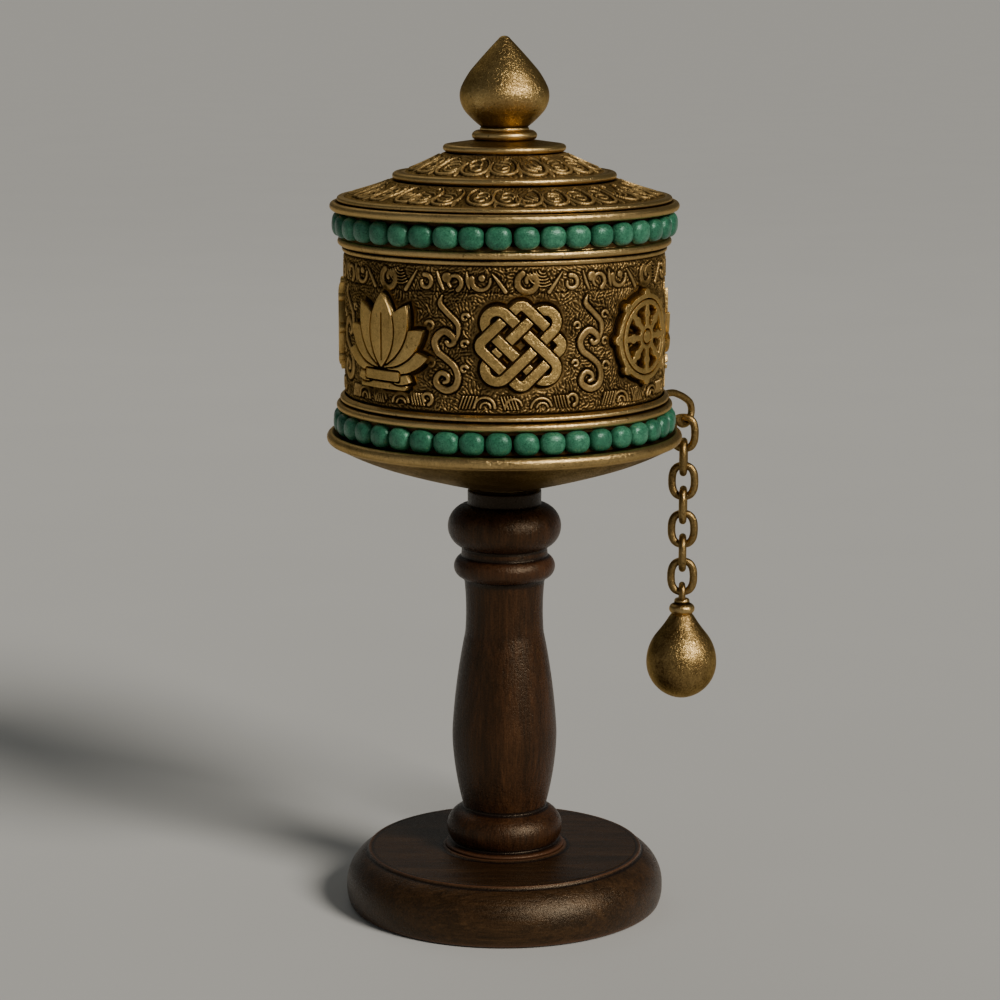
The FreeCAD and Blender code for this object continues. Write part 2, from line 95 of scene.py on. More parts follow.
class Nodes:
    """Short calls for building a material's node tree."""

    def __init__(self, name):
        self.material = bpy.data.materials.new(name)
        self.material.use_nodes = True
        self.tree = self.material.node_tree
        self.shader = self.tree.nodes["Principled BSDF"]
        self.place = self.add("ShaderNodeTexCoord").outputs["Object"]

    def add(self, kind, **settings):
        node = self.tree.nodes.new(kind)
        for key, value in settings.items():
            setattr(node, key, value)
        return node

    def link(self, source, target):
        self.tree.links.new(source, target)

    def feed(self, socket, value):
        """Give a socket a link or a plain value."""
        if isinstance(value, bpy.types.NodeSocket):
            self.link(value, socket)
        else:
            socket.default_value = value

    def stretched(self, x, y, z):
        """Object coordinates, scaled along each axis."""
        mapping = self.add("ShaderNodeMapping")
        self.link(self.place, mapping.inputs["Vector"])
        mapping.inputs["Scale"].default_value = (x, y, z)
        return mapping.outputs["Vector"]

    def noise(self, size_mm, detail=3.0, rough=0.55, vector=None, distortion=0.0):
        """Noise whose features are about size_mm across."""
        node = self.add("ShaderNodeTexNoise")
        self.link(vector or self.place, node.inputs["Vector"])
        node.inputs["Scale"].default_value = 1 / (size_mm * MM)
        node.inputs["Detail"].default_value = detail
        node.inputs["Roughness"].default_value = rough
        node.inputs["Distortion"].default_value = distortion
        return node.outputs["Fac"]

    def ramp(self, factor, *stops):
        """A colour ramp: stops are (position, (r, g, b))."""
        node = self.add("ShaderNodeValToRGB")
        self.link(factor, node.inputs["Fac"])
        elements = node.color_ramp.elements
        while len(elements) < len(stops):
            elements.new(1.0)
        for element, (position, colour) in zip(elements, stops):
            element.position = position
            element.color = (*colour, 1.0)
        return node.outputs["Color"]

    def spread(self, value, low_in, high_in, low_out=0.0, high_out=1.0):
        """Map a range to another, clamped and eased."""
        node = self.add("ShaderNodeMapRange", interpolation_type="SMOOTHSTEP")
        self.link(value, node.inputs["Value"])
        for key, number in zip(("From Min", "From Max", "To Min", "To Max"),
                               (low_in, high_in, low_out, high_out)):
            node.inputs[key].default_value = number
        return node.outputs["Result"]

    def maths(self, operation, first, second=0.0):
        node = self.add("ShaderNodeMath", operation=operation)
        self.feed(node.inputs[0], first)
        self.feed(node.inputs[1], second)
        return node.outputs["Value"]

    def mix(self, factor, first, second, blend="MIX"):
        """Mix two colours."""
        node = self.add("ShaderNodeMix", data_type="RGBA", blend_type=blend)
        self.feed(node.inputs[0], factor)
        for socket, value in ((node.inputs[6], first), (node.inputs[7], second)):
            self.feed(socket, value if isinstance(value, bpy.types.NodeSocket) else (*value, 1.0))
        return node.outputs[2]

    def attribute(self, name):
        return self.add("ShaderNodeAttribute", attribute_name=name).outputs["Fac"]

    def bump(self, height, depth_mm, strength=1.0):
        """Bump of a given depth, on top of any bump already there."""
        node = self.add("ShaderNodeBump")
        node.inputs["Distance"].default_value = depth_mm * MM
        node.inputs["Strength"].default_value = strength
        self.link(height, node.inputs["Height"])
        if self.shader.inputs["Normal"].is_linked:
            self.link(self.shader.inputs["Normal"].links[0].from_socket, node.inputs["Normal"])
        self.link(node.outputs["Normal"], self.shader.inputs["Normal"])


def aged_metal(name, deep, dull, warm, bright, rough=(0.56, 0.29), speckle=0.5, hammer=0.11):
    """Old brass: dark in the recesses, rubbed bright on what stands out, speckled all over.

    The meshes carry "relief": 0 in a recess, 0.5 on a plain surface, 1 on an edge; on a few pieces it
    is lowered as painted shade or raised as painted light.
    """
    m = Nodes(name)
    clouds = m.noise(7.0, 4.0, 0.6)
    grain = m.noise(0.62, 3.0, 0.72, distortion=1.2)
    pits = m.noise(1.1, 2.0, 0.5)
    lift = m.maths("MULTIPLY", m.maths("SUBTRACT", grain, 0.5), speckle)
    drift = m.maths("MULTIPLY", m.maths("SUBTRACT", clouds, 0.5), 0.5)
    level = m.maths("ADD", m.maths("ADD", m.attribute("relief"), lift), drift)
    colour = m.ramp(level, (0.05, deep), (0.36, dull), (0.62, warm), (0.98, bright))
    spots = m.spread(pits, 0.66, 0.74)
    m.link(m.mix(m.maths("MULTIPLY", spots, 0.6), colour, deep), m.shader.inputs["Base Color"])
    m.shader.inputs["Metallic"].default_value = 1.0
    m.shader.inputs["Specular Tint"].default_value = (0.86, 0.72, 0.50, 1.0)
    m.link(m.spread(level, 0.1, 0.8, rough[0], rough[1]), m.shader.inputs["Roughness"])
    m.bump(grain, hammer, 1.0)
    m.bump(m.noise(2.6, 3.0), 0.10, 0.35)
    return m.material


def dark_wood(name, along, tint=(1.0, 1.0, 1.0), gloss=0.36):
    """Oiled dark hardwood; along is the direction of the grain, 0 for X or 2 for Z."""
    m = Nodes(name)
    squeeze = [1.0, 1.0, 1.0]
    squeeze[along] = 0.07
    lines = m.noise(0.55, 4.0, 0.65, m.stretched(*squeeze))
    bands = m.noise(3.4, 3.0, 0.6, m.stretched(*squeeze), 0.6)
    dust = m.noise(0.5, 3.0, 0.7)
    tone = m.maths("ADD", m.maths("MULTIPLY", lines, 0.5), m.maths("MULTIPLY", bands, 0.4))
    tone = m.maths("ADD", tone, m.maths("MULTIPLY", dust, 0.2))
    shades = [(0.34, (0.004, 0.0015, 0.0005)), (0.50, (0.018, 0.0066, 0.0022)),
              (0.62, (0.038, 0.0143, 0.0048)), (0.78, (0.076, 0.0305, 0.0105))]
    shades = [(place, tuple(part * share for part, share in zip(shade, tint)))
              for place, shade in shades]
    colour = m.ramp(tone, *shades)
    wear_and_shade = m.spread(m.attribute("relief"), 0.55, 0.95)
    colour = m.mix(m.maths("MULTIPLY", wear_and_shade, 0.4), colour, (0.12, 0.050, 0.025))
    # Painted shade: where the relief value is low, in deep grooves and on the post's shaded neck, the
    # colour goes nearly black.
    shade = m.spread(m.attribute("relief"), 0.1, 0.45)
    m.link(m.mix(shade, (0.006, 0.003, 0.0025), colour), m.shader.inputs["Base Color"])
    m.link(m.spread(dust, 0.25, 0.75, 0.22, 0.44), m.shader.inputs["Roughness"])
    m.shader.inputs["Specular IOR Level"].default_value = gloss
    m.shader.inputs["Specular Tint"].default_value = (1.0, 0.78, 0.54, 1.0)
    m.bump(lines, 0.10, 0.7)
    m.bump(dust, 0.12, 1.0)
    return m.material


def turquoise():
    """Polished green-blue stone: mottled, with darker veins and a tone of its own for each bead."""
    m = Nodes("turquoise")
    cloud = m.noise(1.5, 4.0, 0.65, distortion=0.5)
    fleck = m.noise(0.38, 2.0, 0.7)
    tone = m.maths("ADD", m.maths("MULTIPLY", cloud, 0.6), m.maths("MULTIPLY", fleck, 0.42))
    tone = m.maths("ADD", tone, m.maths("MULTIPLY", m.attribute("tone"), 0.16))
    colour = m.ramp(tone, (0.30, (0.004, 0.038, 0.020)), (0.48, (0.014, 0.098, 0.052)),
                    (0.62, (0.030, 0.155, 0.085)), (0.80, (0.080, 0.270, 0.160)))
    vein = m.noise(2.2, 5.0, 0.7, distortion=1.6)
    near = m.maths("ABSOLUTE", m.maths("SUBTRACT", vein, 0.5))
    thin = m.spread(near, 0.0, 0.022, 0.5, 0.0)
    m.link(m.mix(thin, colour, (0.005, 0.032, 0.020)), m.shader.inputs["Base Color"])
    m.link(m.spread(fleck, 0.2, 0.8, 0.22, 0.44), m.shader.inputs["Roughness"])
    m.shader.inputs["Specular IOR Level"].default_value = 0.65
    m.shader.inputs["Specular Tint"].default_value = (0.62, 1.0, 0.80, 1.0)
    m.bump(fleck, 0.10, 0.8)
    return m.material


def felt():
    m = Nodes("felt")
    fibre = m.noise(0.25, 4.0, 0.8, distortion=1.2)
    m.link(m.ramp(fibre, (0.3, (0.012, 0.02, 0.014)), (0.7, (0.05, 0.07, 0.05))),
           m.shader.inputs["Base Color"])
    m.shader.inputs["Roughness"].default_value = 0.95
    m.shader.inputs["Sheen Weight"].default_value = 0.4
    m.bump(fibre, 0.15, 0.8)
    return m.material


def machined(name, dark, light):
    """Bare turned metal with fine rings from the lathe."""
    m = Nodes(name)
    rings = m.noise(0.3, 2.0, 0.5, m.stretched(0.08, 0.08, 1.0))
    m.link(m.ramp(rings, (0.3, dark), (0.7, light)), m.shader.inputs["Base Color"])
    m.shader.inputs["Metallic"].default_value = 1.0
    m.link(m.spread(rings, 0.2, 0.8, 0.22, 0.36), m.shader.inputs["Roughness"])
    m.bump(rings, 0.01, 0.5)
    return m.material


def rolled_paper():
    """Paper wound on a tube, with faint fibres all over."""
    m = Nodes("rolled_paper")
    fibre = m.noise(0.6, 4.0, 0.7)
    m.link(m.ramp(fibre, (0.3, (0.56, 0.46, 0.30)), (0.7, (0.72, 0.62, 0.44))),
           m.shader.inputs["Base Color"])
    m.shader.inputs["Roughness"].default_value = 0.85
    m.bump(fibre, 0.05, 0.6)
    return m.material


def table_top():
    m = Nodes("table_top")
    soft = m.noise(90.0, 2.0, 0.5)
    m.link(m.ramp(soft, (0.3, (0.555, 0.555, 0.54)), (0.7, (0.565, 0.565, 0.55))),
           m.shader.inputs["Base Color"])
    m.shader.inputs["Roughness"].default_value = 0.9
    return m.material


BRASS = aged_metal("aged_brass", (0.012, 0.007, 0.0026), (0.078, 0.046, 0.0155),
                   (0.27, 0.175, 0.064), (0.58, 0.40, 0.165), speckle=0.95)
RUBBED = aged_metal("rubbed_brass", (0.014, 0.008, 0.003), (0.115, 0.068, 0.023),
                    (0.45, 0.300, 0.110), (0.90, 0.66, 0.29), (0.45, 0.25), 0.55, 0.15)
GILT = aged_metal("emblem_brass", (0.012, 0.007, 0.0026), (0.095, 0.057, 0.019),
                  (0.31, 0.198, 0.065), (0.66, 0.445, 0.16), (0.50, 0.29), 0.8, 0.14)
CHASED = aged_metal("chased_bronze", (0.010, 0.0058, 0.0022), (0.074, 0.044, 0.015),
                    (0.27, 0.172, 0.061), (0.70, 0.48, 0.20), (0.62, 0.41), 0.5, 0.07)
WEATHERED = aged_metal("weathered_bronze", (0.010, 0.0058, 0.0022), (0.074, 0.044, 0.015),
                       (0.26, 0.166, 0.058), (0.60, 0.41, 0.165), (0.68, 0.50), 0.5, 0.07)
POST_WOOD = dark_wood("post_wood", 2)
DISC_WOOD = dark_wood("disc_wood", 0, (0.95, 1.16, 1.2), 0.4)
STONE = turquoise()
FELT = felt()
STEEL = machined("steel", (0.35, 0.35, 0.36), (0.55, 0.55, 0.57))
PLAIN_BRASS = machined("plain_brass", (0.50, 0.34, 0.13), (0.72, 0.52, 0.24))
PAPER = rolled_paper()


# ------------------------------------------------------------------ meshes

def finish_piece(name, mesh, material, body, nodes, sharp=40.0):
    """Make an object of a mesh, smooth it, and hang it on its body."""
    piece = bpy.data.objects.new(name, mesh)
    bpy.context.scene.collection.objects.link(piece)
    mesh.materials.append(material)
    mesh.polygons.foreach_set("use_smooth", [True] * len(mesh.polygons))
    if sharp:
        mesh.set_sharp_from_angle(angle=math.radians(sharp))
    mesh.update()
    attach(piece, body)
    if nodes:
        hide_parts(*nodes)
    return piece


def mesh_of(name, points, faces):
    mesh = bpy.data.meshes.new(name)
    mesh.from_pydata([tuple(point) for point in points], [], faces)
    mesh.validate()
    return mesh


def set_attribute(mesh, name, values):
    mesh.attributes.new(name, "FLOAT", "POINT").data.foreach_set(
        "value", np.asarray(values, np.float32))


def arc_points(start, end, rise, step):
    """Points after start on an arc that stands rise over its chord, to the right of the way."""
    start, end = np.array(start), np.array(end)
    chord = end - start
    length = np.hypot(*chord)
    count = max(1, int(math.ceil(length / step)))
    if not rise:
        return [start + chord * (i + 1) / count for i in range(count)]
    side = np.array([chord[1], -chord[0]]) / length
    radius = (length * length / 4 + rise * rise) / (2 * abs(rise))
    middle = (start + end) / 2 - side * math.copysign(radius - abs(rise), rise)
    first = math.atan2(*(start - middle)[::-1])
    turn = 2 * math.asin(min(1.0, length / 2 / radius))
    if abs(rise) > radius:
        turn = 2 * math.pi - turn
    turn = math.copysign(turn, rise)
    count = max(count, int(abs(turn) / 0.16) + 1)
    return [middle + radius * np.array([math.cos(first + turn * (i + 1) / count),
                                        math.sin(first + turn * (i + 1) / count)])
            for i in range(count)]


def eased_profile(outline, step=0.7, corner=0.22):
    """The closed outline as points: arcs filled in, and each corner eased to a small radius."""
    points = []
    for index, entry in enumerate(outline):
        rise = entry[2] if len(entry) > 2 else 0.0
        points += arc_points(outline[index - 1][:2], entry[:2], rise, step)
    points = np.array(points)
    eased = []
    for index, point in enumerate(points):
        before, after = points[index - 1], points[(index + 1) % len(points)]
        way_in, way_out = point - before, after - point
        len_in, len_out = np.hypot(*way_in), np.hypot(*way_out)
        turn = abs(math.atan2(way_in[0] * way_out[1] - way_in[1] * way_out[0], way_in @ way_out))
        on_axis = point[0] < 1e-6
        if turn < 0.35 or on_axis:
            eased.append(point)
            continue
        cut = min(corner, 0.45 * len_in, 0.45 * len_out)
        start, end = point - way_in / len_in * cut, point + way_out / len_out * cut
        for t in (0.0, 0.33, 0.67, 1.0):
            eased.append(start * (1 - t) ** 2 + point * 2 * t * (1 - t) + end * t * t)
    return np.array(eased)


def edge_relief(profile, window=0.8, gain=2.2, plain=0.46):
    """0 in a groove of the profile, 1 on an edge, 0.5 between: how far it stands out locally."""
    steps = np.hypot(*np.diff(profile, axis=0, append=profile[:1]).T)
    place = np.concatenate([[0], np.cumsum(steps)])
    total = place[-1]
    looped = np.vstack([profile, profile[:1]])

    def at(where):
        where = np.mod(where, total)
        return np.stack([np.interp(where, place, looped[:, 0]),
                         np.interp(where, place, looped[:, 1])], 1)

    here = place[:-1]
    ahead, behind = at(here + window), at(here - window)
    offset = profile - (ahead + behind) / 2
    along = ahead - behind
    along /= np.maximum(np.hypot(*along.T), 1e-9)[:, None]
    outward = np.stack([along[:, 1], -along[:, 0]], 1)
    stands = (offset * outward).sum(1)
    return np.clip(plain + stands * gain, 0.02, 1.0)


def turned(name, node, outline, material, body, segments=192, replaced=None, corner=0.22,
           step=0.7, centre_xy=(0.0, 0.0), wobble=0.02, relief_gain=2.2,
           shade=0.0):
    """A lathe-turned piece from a closed outline, with a hand's small unevenness."""
    profile = eased_profile(outline, step, corner)
    # shade is taken off the relief value: a positive shade darkens the whole piece's colour as painted
    # shade, a negative one lifts it as painted light.
    relief = np.clip(edge_relief(profile, gain=relief_gain) - shade, 0.02, 1.0)
    profile = profile + np.array([0.0, low(node)])
    angles = np.arange(segments) * 2 * math.pi / segments
    cos, sin = np.cos(angles), np.sin(angles)
    seed = sum(map(ord, name))
    sway = np.zeros(segments)
    for wave in (2, 3, 5, 7):
        sway += np.sin(wave * angles + seed * wave) / wave
    points, values, rings = [], [], []
    for (radius, height), value in zip(profile, relief):
        if radius < 1e-4:
            rings.append([len(points)])
            points.append((centre_xy[0] * MM, centre_xy[1] * MM, height * MM))
            values.append(value)
            continue
        share = wobble * sway * min(1.0, radius / 8)
        rings.append(list(range(len(points), len(points) + segments)))
        xs, ys = (radius + share) * cos + centre_xy[0], (radius + share) * sin + centre_xy[1]
        points += [(x * MM, y * MM, height * MM) for x, y in zip(xs, ys)]
        values += [value] * segments
    faces = []
    for index, ring in enumerate(rings):
        following = rings[(index + 1) % len(rings)]
        if len(ring) == 1 and len(following) == 1:
            continue
        for k in range(segments):
            n = (k + 1) % segments
            if len(ring) == 1:
                faces.append((ring[0], following[n], following[k]))
            elif len(following) == 1:
                faces.append((ring[k], ring[n], following[0]))
            else:
                faces.append((ring[k], ring[n], following[n], following[k]))
    mesh = mesh_of(name, points, faces)
    set_attribute(mesh, "relief", values)
    return finish_piece(name, mesh, material, body, replaced or [node])


# ------------------------------------------------------------------ the stand

turned("base_disc", "base_disc", [
    (2.0, 3.45), (4.2, 0.85), (36.0, 0.85), (36.0, 0.0), (38.8, 0.0), (39.6, 4.05, 0.25),
    (34.4, 12.95, 1.55), (34.15, 13.45), (33.9, 13.75, 0.08), (33.3, 13.6), (32.7, 13.72, -0.06),
    (15.9, 13.75), (15.5, 14.0), (14.8, 14.25, 0.1), (8.0, 14.25), (8.0, 4.65), (2.0, 4.65),
], DISC_WOOD, "stand", corner=0.35)

post = turned("post", "post", [
    (2.0, 0.0), (8.0, 0.0), (8.0, 9.6), (14.6, 9.6), (14.5, 10.35, 0.3), (13.3, 10.7),
    (13.1, 11.0), (10.9, 19.2, 2.3), (10.35, 19.5), (10.3, 19.8), (12.85, 34.5, 0.35),
    (12.85, 41.5, 0.15), (9.75, 64.0, 0.38), (9.9, 77.0, -0.3),
    (10.3, 77.9), (10.7, 83.5, 2.0), (10.6, 84.8), (10.5, 85.6), (9.05, 96.4, 4.2),
    (9.1, 99.8), (3.0, 99.8), (3.0, 57.0), (0.0, 57.0), (0.0, 21.0), (2.0, 18.0),
], POST_WOOD, "stand", corner=0.4)

# Painted shade: the neck stands in the drum's shadow, so its relief value is lowered towards the top,
# which darkens the wood's colour there.
painted_shade_from = low("post") + 94.0
for corner, wear_and_shade in zip(post.data.vertices, post.data.attributes["relief"].data):
    depth = min(max((corner.co.z / MM - painted_shade_from) / 4.0, 0.0), 1.0)
    wear_and_shade.value *= 1 - 0.8 * depth

turned("finial_collar", "finial_collar", [
    (2.5, 0.0), (7.2, 0.0), (7.3, 1.9, 0.62), (6.4, 2.2, 0.1), (2.5, 2.2),
], BRASS, "stand")

# Painted light: a negative shade lifts the finial's colour all over.
turned("finial", "finial", [
    (2.5, 0.0), (5.8, 0.0), (5.85, 0.6, 0.12), (5.6, 0.8), (9.0, 3.9, 0.12), (10.8, 8.3, 0.46),
    (10.1, 11.0, 0.17), (8.1, 14.3, 0.08), (1.5, 21.6, 0.09), (0.0, 22.4, 0.22), (0.0, 12.0),
    (2.5, 12.0),
], RUBBED, "stand", relief_gain=0.8, shade=-0.08)

# ------------------------------------------------------------------ plain rings of the drum

# Painted shade: the dish's colour is darkened a little all over by its shade.
turned("bottom_dish", "bottom_dish", [
    (9.4, 0.0), (30.0, 5.85, 0.2), (42.0, 11.05, 0.3), (42.0, 11.75), (36.0, 12.75), (30.0, 7.55),
    (9.4, 2.4), (5.6, 2.4), (5.6, 1.2), (9.4, 1.2),
], BRASS, "drum", shade=0.05)

# Painted shade: the rim ring's colour is darkened all over by its shade.
turned("bottom_rim_ring", "bottom_rim_ring", [
    (36.0, 1.6), (42.0, 0.6), (42.0, 0.0), (42.2, 2.8, 1.35), (41.6, 2.55), (40.4, 2.5), (36.0, 2.5),
], BRASS, "drum", 256, shade=0.07)

turned("lower_collar_ring", "lower_collar_ring", [
    (39.0, 0.0), (40.2, 0.0), (40.2, 1.8, 0.78), (39.55, 2.1), (39.6, 3.4, 0.52), (39.3, 3.65),
    (39.0, 3.75),
], BRASS, "drum", 256, corner=0.1)

# Painted shade: the upper collar ring's colour is darkened all over by its shade.
turned("upper_collar_ring", "upper_collar_ring", [
    (38.9, 0.0), (39.2, 1.15, 0.28), (39.0, 1.4), (39.6, 1.5), (39.6, 3.4, 0.8), (39.5, 3.6),
    (38.9, 3.6),
], BRASS, "drum", 256, corner=0.1, shade=0.05)

# Painted shade: a large shade darkens the bands behind the beads into a dark channel.
for band in ("lower_bead_band", "upper_bead_band"):
    tall = high(band) - low(band)
    turned(band, band, [
        (39.0, 0.0), (39.6, 0.0), (39.6, 0.9), (39.15, 1.3), (39.15, tall - 1.3),
        (39.6, tall - 0.9), (39.6, tall), (39.0, tall),
    ], CHASED, "drum", 256, corner=0.1, relief_gain=0.5, shade=0.36)

turned("lid_rim_ring", "lid_rim_ring", [
    (37.7, 0.0), (41.4, 0.0), (41.4, 2.1, 1.3), (40.4, 2.0), (39.9, 2.15), (39.8, 3.4, 0.62),
    (38.9, 3.5), (37.7, 2.1),
], BRASS, "drum", 256)

turned("lid_mid_ring", "lid_mid_ring", [
    (26.7, 0.0), (26.2, 1.65, 0.62), (25.7, 1.7), (23.9, 1.65), (24.6, 0.6),
], BRASS, "drum", 256, corner=0.1)

turned("lid_top_disc", "lid_top_disc", [
    (5.6, 0.0), (14.0, 0.0), (14.0, 1.7, 0.85), (13.0, 1.85), (7.4, 2.65), (5.6, 2.7),
], BRASS, "drum", 256)


# ------------------------------------------------------------------ beads

def bead_ring(name, body):
    """Forty stones, each a little different in size, seat and tone."""
    chance = random.Random(len(name) * 7)
    count, phase = 40, 7.2
    seat, middle = 39.75, centre(name).z
    around, up = 26, 16
    points, faces, tones = [], [], []
    for number in range(count):
        turn = math.radians(phase + number * 360.0 / count + chance.uniform(-0.25, 0.25))
        wide = 3.08 * chance.uniform(0.95, 1.02)
        tall = 2.80 * chance.uniform(0.96, 1.01)
        deep = 2.22 * chance.uniform(0.93, 1.0)
        lean = chance.uniform(-0.12, 0.12)
        tone = chance.random()
        first = len(points)
        outward = np.array([math.sin(turn), -math.cos(turn), 0])
        sideways = np.array([math.cos(turn), math.sin(turn), 0])
        for row in range(up + 1):
            polar = math.pi * row / up
            for column in range(around if 0 < row < up else 1):
                spin = 2 * math.pi * column / around
                x = math.sin(polar) * math.cos(spin)
                y = math.sin(polar) * math.sin(spin)
                z = math.cos(polar)
                square = (abs(x) ** 2.5 + abs(z) ** 2.5 + abs(y) ** 2.5) ** (-1 / 2.5)
                x, y, z = x * square * wide, y * square * deep, z * square * tall
                x, z = x + lean * z, z - lean * x * 0.4
                spot = outward * (seat + y) + sideways * x + np.array([0, 0, middle + z])
                points.append(tuple(spot * MM))
                tones.append(tone)
        for row in range(up):
            for column in range(around):
                following = (column + 1) % around
                top = first if row == 0 else first + 1 + (row - 1) * around
                bottom = first + 1 + row * around
                if row == 0:
                    faces.append((first, bottom + column, bottom + following))
                elif row == up - 1:
                    faces.append((top + column, bottom, top + following))
                else:
                    faces.append((top + column, bottom + column, bottom + following,
                                  top + following))
    mesh = mesh_of(name, points, faces)
    set_attribute(mesh, "tone", tones)
    return finish_piece(name, mesh, STONE, body, [name], sharp=None)


bead_ring("lower_beads", "drum")
bead_ring("upper_beads", "drum")


# ------------------------------------------------------------------ emblem shapes

# Each emblem is a signed distance in millimetres from its outline, negative inside, on a plane
# with its origin at the emblem's middle.

EMBLEM_HALF = (high("emblems") - low("emblems")) / 2
EMBLEM_MIDDLE = centre("emblems").z
PANELS = 7
PANEL_PHASE = 5.5
WALL_RADIUS = 39.0


def disc(x, y, radius, right=0.0, up=0.0):
    return np.hypot(x - right, y - up) - radius


def hoop(x, y, radius, half, right=0.0, up=0.0):
    return np.abs(disc(x, y, radius, right, up)) - half


def bar(x, y, start, end, half):
    (sx, sy), (ex, ey) = start, end
    dx, dy = ex - sx, ey - sy
    t = np.clip(((x - sx) * dx + (y - sy) * dy) / (dx * dx + dy * dy), 0, 1)
    return np.hypot(x - sx - t * dx, y - sy - t * dy) - half


def plate(x, y, half_wide, half_tall, right=0.0, up=0.0, ease=0.5):
    qx, qy = np.abs(x - right) - half_wide + ease, np.abs(y - up) - half_tall + ease
    outside = np.hypot(np.maximum(qx, 0), np.maximum(qy, 0))
    return outside + np.minimum(np.maximum(qx, qy), 0) - ease


def leaning(x, y, degrees, up):
    """Coordinates seen from a point on the middle line, turned clockwise by an angle."""
    angle = math.radians(degrees)
    y = y - up
    return x * math.cos(angle) - y * math.sin(angle), x * math.sin(angle) + y * math.cos(angle)


def petal(x, y, length, width, degrees=0.0, up=0.0):
    """A leaf with a point at each end, standing on its lower point."""
    px, py = leaning(x, y, degrees, up)
    radius = (length * length + width * width) / (4 * width)
    offset = radius - width / 2
    return np.maximum(disc(px, py, radius, -offset, length / 2),
                      disc(px, py, radius, offset, length / 2))


def behind(front, back, gap=0.42):
    """The back shape passes under the front one, with a groove between them."""
    return np.minimum(front, np.maximum(back, gap - front))


def lotus_shape(x, y):
    shape = petal(x, y, 17.4, 7.6, 0.0, -6.4)
    shape = np.maximum(shape, 0.24 - bar(x, y, (0, -4.5), (0, 6.2), 0.0))
    for lean, length, width in ((27, 16.6, 6.6), (53, 15.2, 6.0), (78, 13.6, 5.2)):
        for side in (-1, 1):
            shape = behind(shape, petal(x, y, length, width, side * lean, -6.2))
    for side in (-1, 1):
        shape = behind(shape, petal(x, y, 9.2, 4.2, side * 112, -6.0))
    shape = behind(plate(x, y, 5.6, 1.15, 0, -8.3), shape)
    return behind(shape, plate(x, y, 7.6, 1.05, 0, -EMBLEM_HALF + 1.05))


def knot_shape(x, y):
    """Two long loops woven through a diamond, over and under by turns."""
    angle = math.radians(45)
    u, v = x * math.cos(angle) + y * math.sin(angle), y * math.cos(angle) - x * math.sin(angle)
    half, inner, outer, reach_out = 1.12, 2.75, 7.05, 8.6

    def loop(p, q):
        rest = np.maximum(np.abs(p) - (reach_out - inner * 0.35), 0)
        return np.abs(np.hypot(rest, q) - inner) - half

    def diamond(p, q):
        ease = 1.6
        qx, qy = np.abs(p) - outer + ease, np.abs(q) - outer + ease
        outside = np.hypot(np.maximum(qx, 0), np.maximum(qy, 0))
        return np.abs(outside + np.minimum(np.maximum(qx, qy), 0) - ease) - half

    rising, falling, frame_band = loop(u, v), loop(v, u), diamond(u, v)
    woven = np.where(u * v > 0, behind(rising, falling), behind(falling, rising))
    over = np.where(np.abs(u) > np.abs(v), v > 0, u < 0)
    return np.where(over, behind(frame_band, woven), behind(woven, frame_band))


def wheel_shape(x, y):
    rim = hoop(x, y, 8.95, 1.35)
    spokes = np.full_like(x, 99.0)
    for number in range(8):
        angle = math.radians(number * 45)
        cos, sin = math.cos(angle), math.sin(angle)
        spokes = np.minimum(spokes, bar(x, y, (2 * cos, 2 * sin), (8.6 * cos, 8.6 * sin), 0.72))
        spokes = np.minimum(spokes, disc(x, y, 1.15, 5.5 * cos, 5.5 * sin))
        rim = np.minimum(rim, disc(x, y, 1.25, 10.15 * cos, 10.15 * sin))
    shape = behind(disc(x, y, 3.0), np.minimum(rim, spokes), 0.0)
    shape = np.maximum(shape, 0.22 - np.abs(disc(x, y, 1.75)))
    return np.maximum(shape, 0.16 - np.abs(disc(x, y, 8.95)))


def vase_shape(x, y):
    belly = disc(x, y * 1.08, 6.6, 0, -2.2)
    shape = np.minimum(belly, plate(x, y, 2.5, 3.2, 0, 4.6))
    shape = np.maximum(shape, 0.2 - np.abs(bar(x, y, (-5, -0.4), (5, -0.4), 0.0)))
    shape = np.maximum(shape, 0.2 - np.abs(bar(x, y, (-5, -3.6), (5, -3.6), 0.0)))
    shape = behind(plate(x, y, 5.4, 0.95, 0, 6.4, 0.8), shape)
    shape = behind(shape, petal(x, y, 5.6, 4.4, 0, 6.2))
    shape = behind(shape, plate(x, y, 2.2, 1.3, 0, -8.8))
    shape = behind(shape, plate(x, y, 4.8, 0.9, 0, -EMBLEM_HALF + 0.9))
    for side in (-1, 1):
        shape = behind(shape, hoop(x, y, 2.5, 0.62, side * 7.4, -0.6))
        shape = behind(shape, petal(x, y, 8.5, 3.2, side * 42, 3.4))
    return shape


EMBLEMS = [knot_shape, wheel_shape, lotus_shape, vase_shape]


# ------------------------------------------------------------------ emblems as raised plates

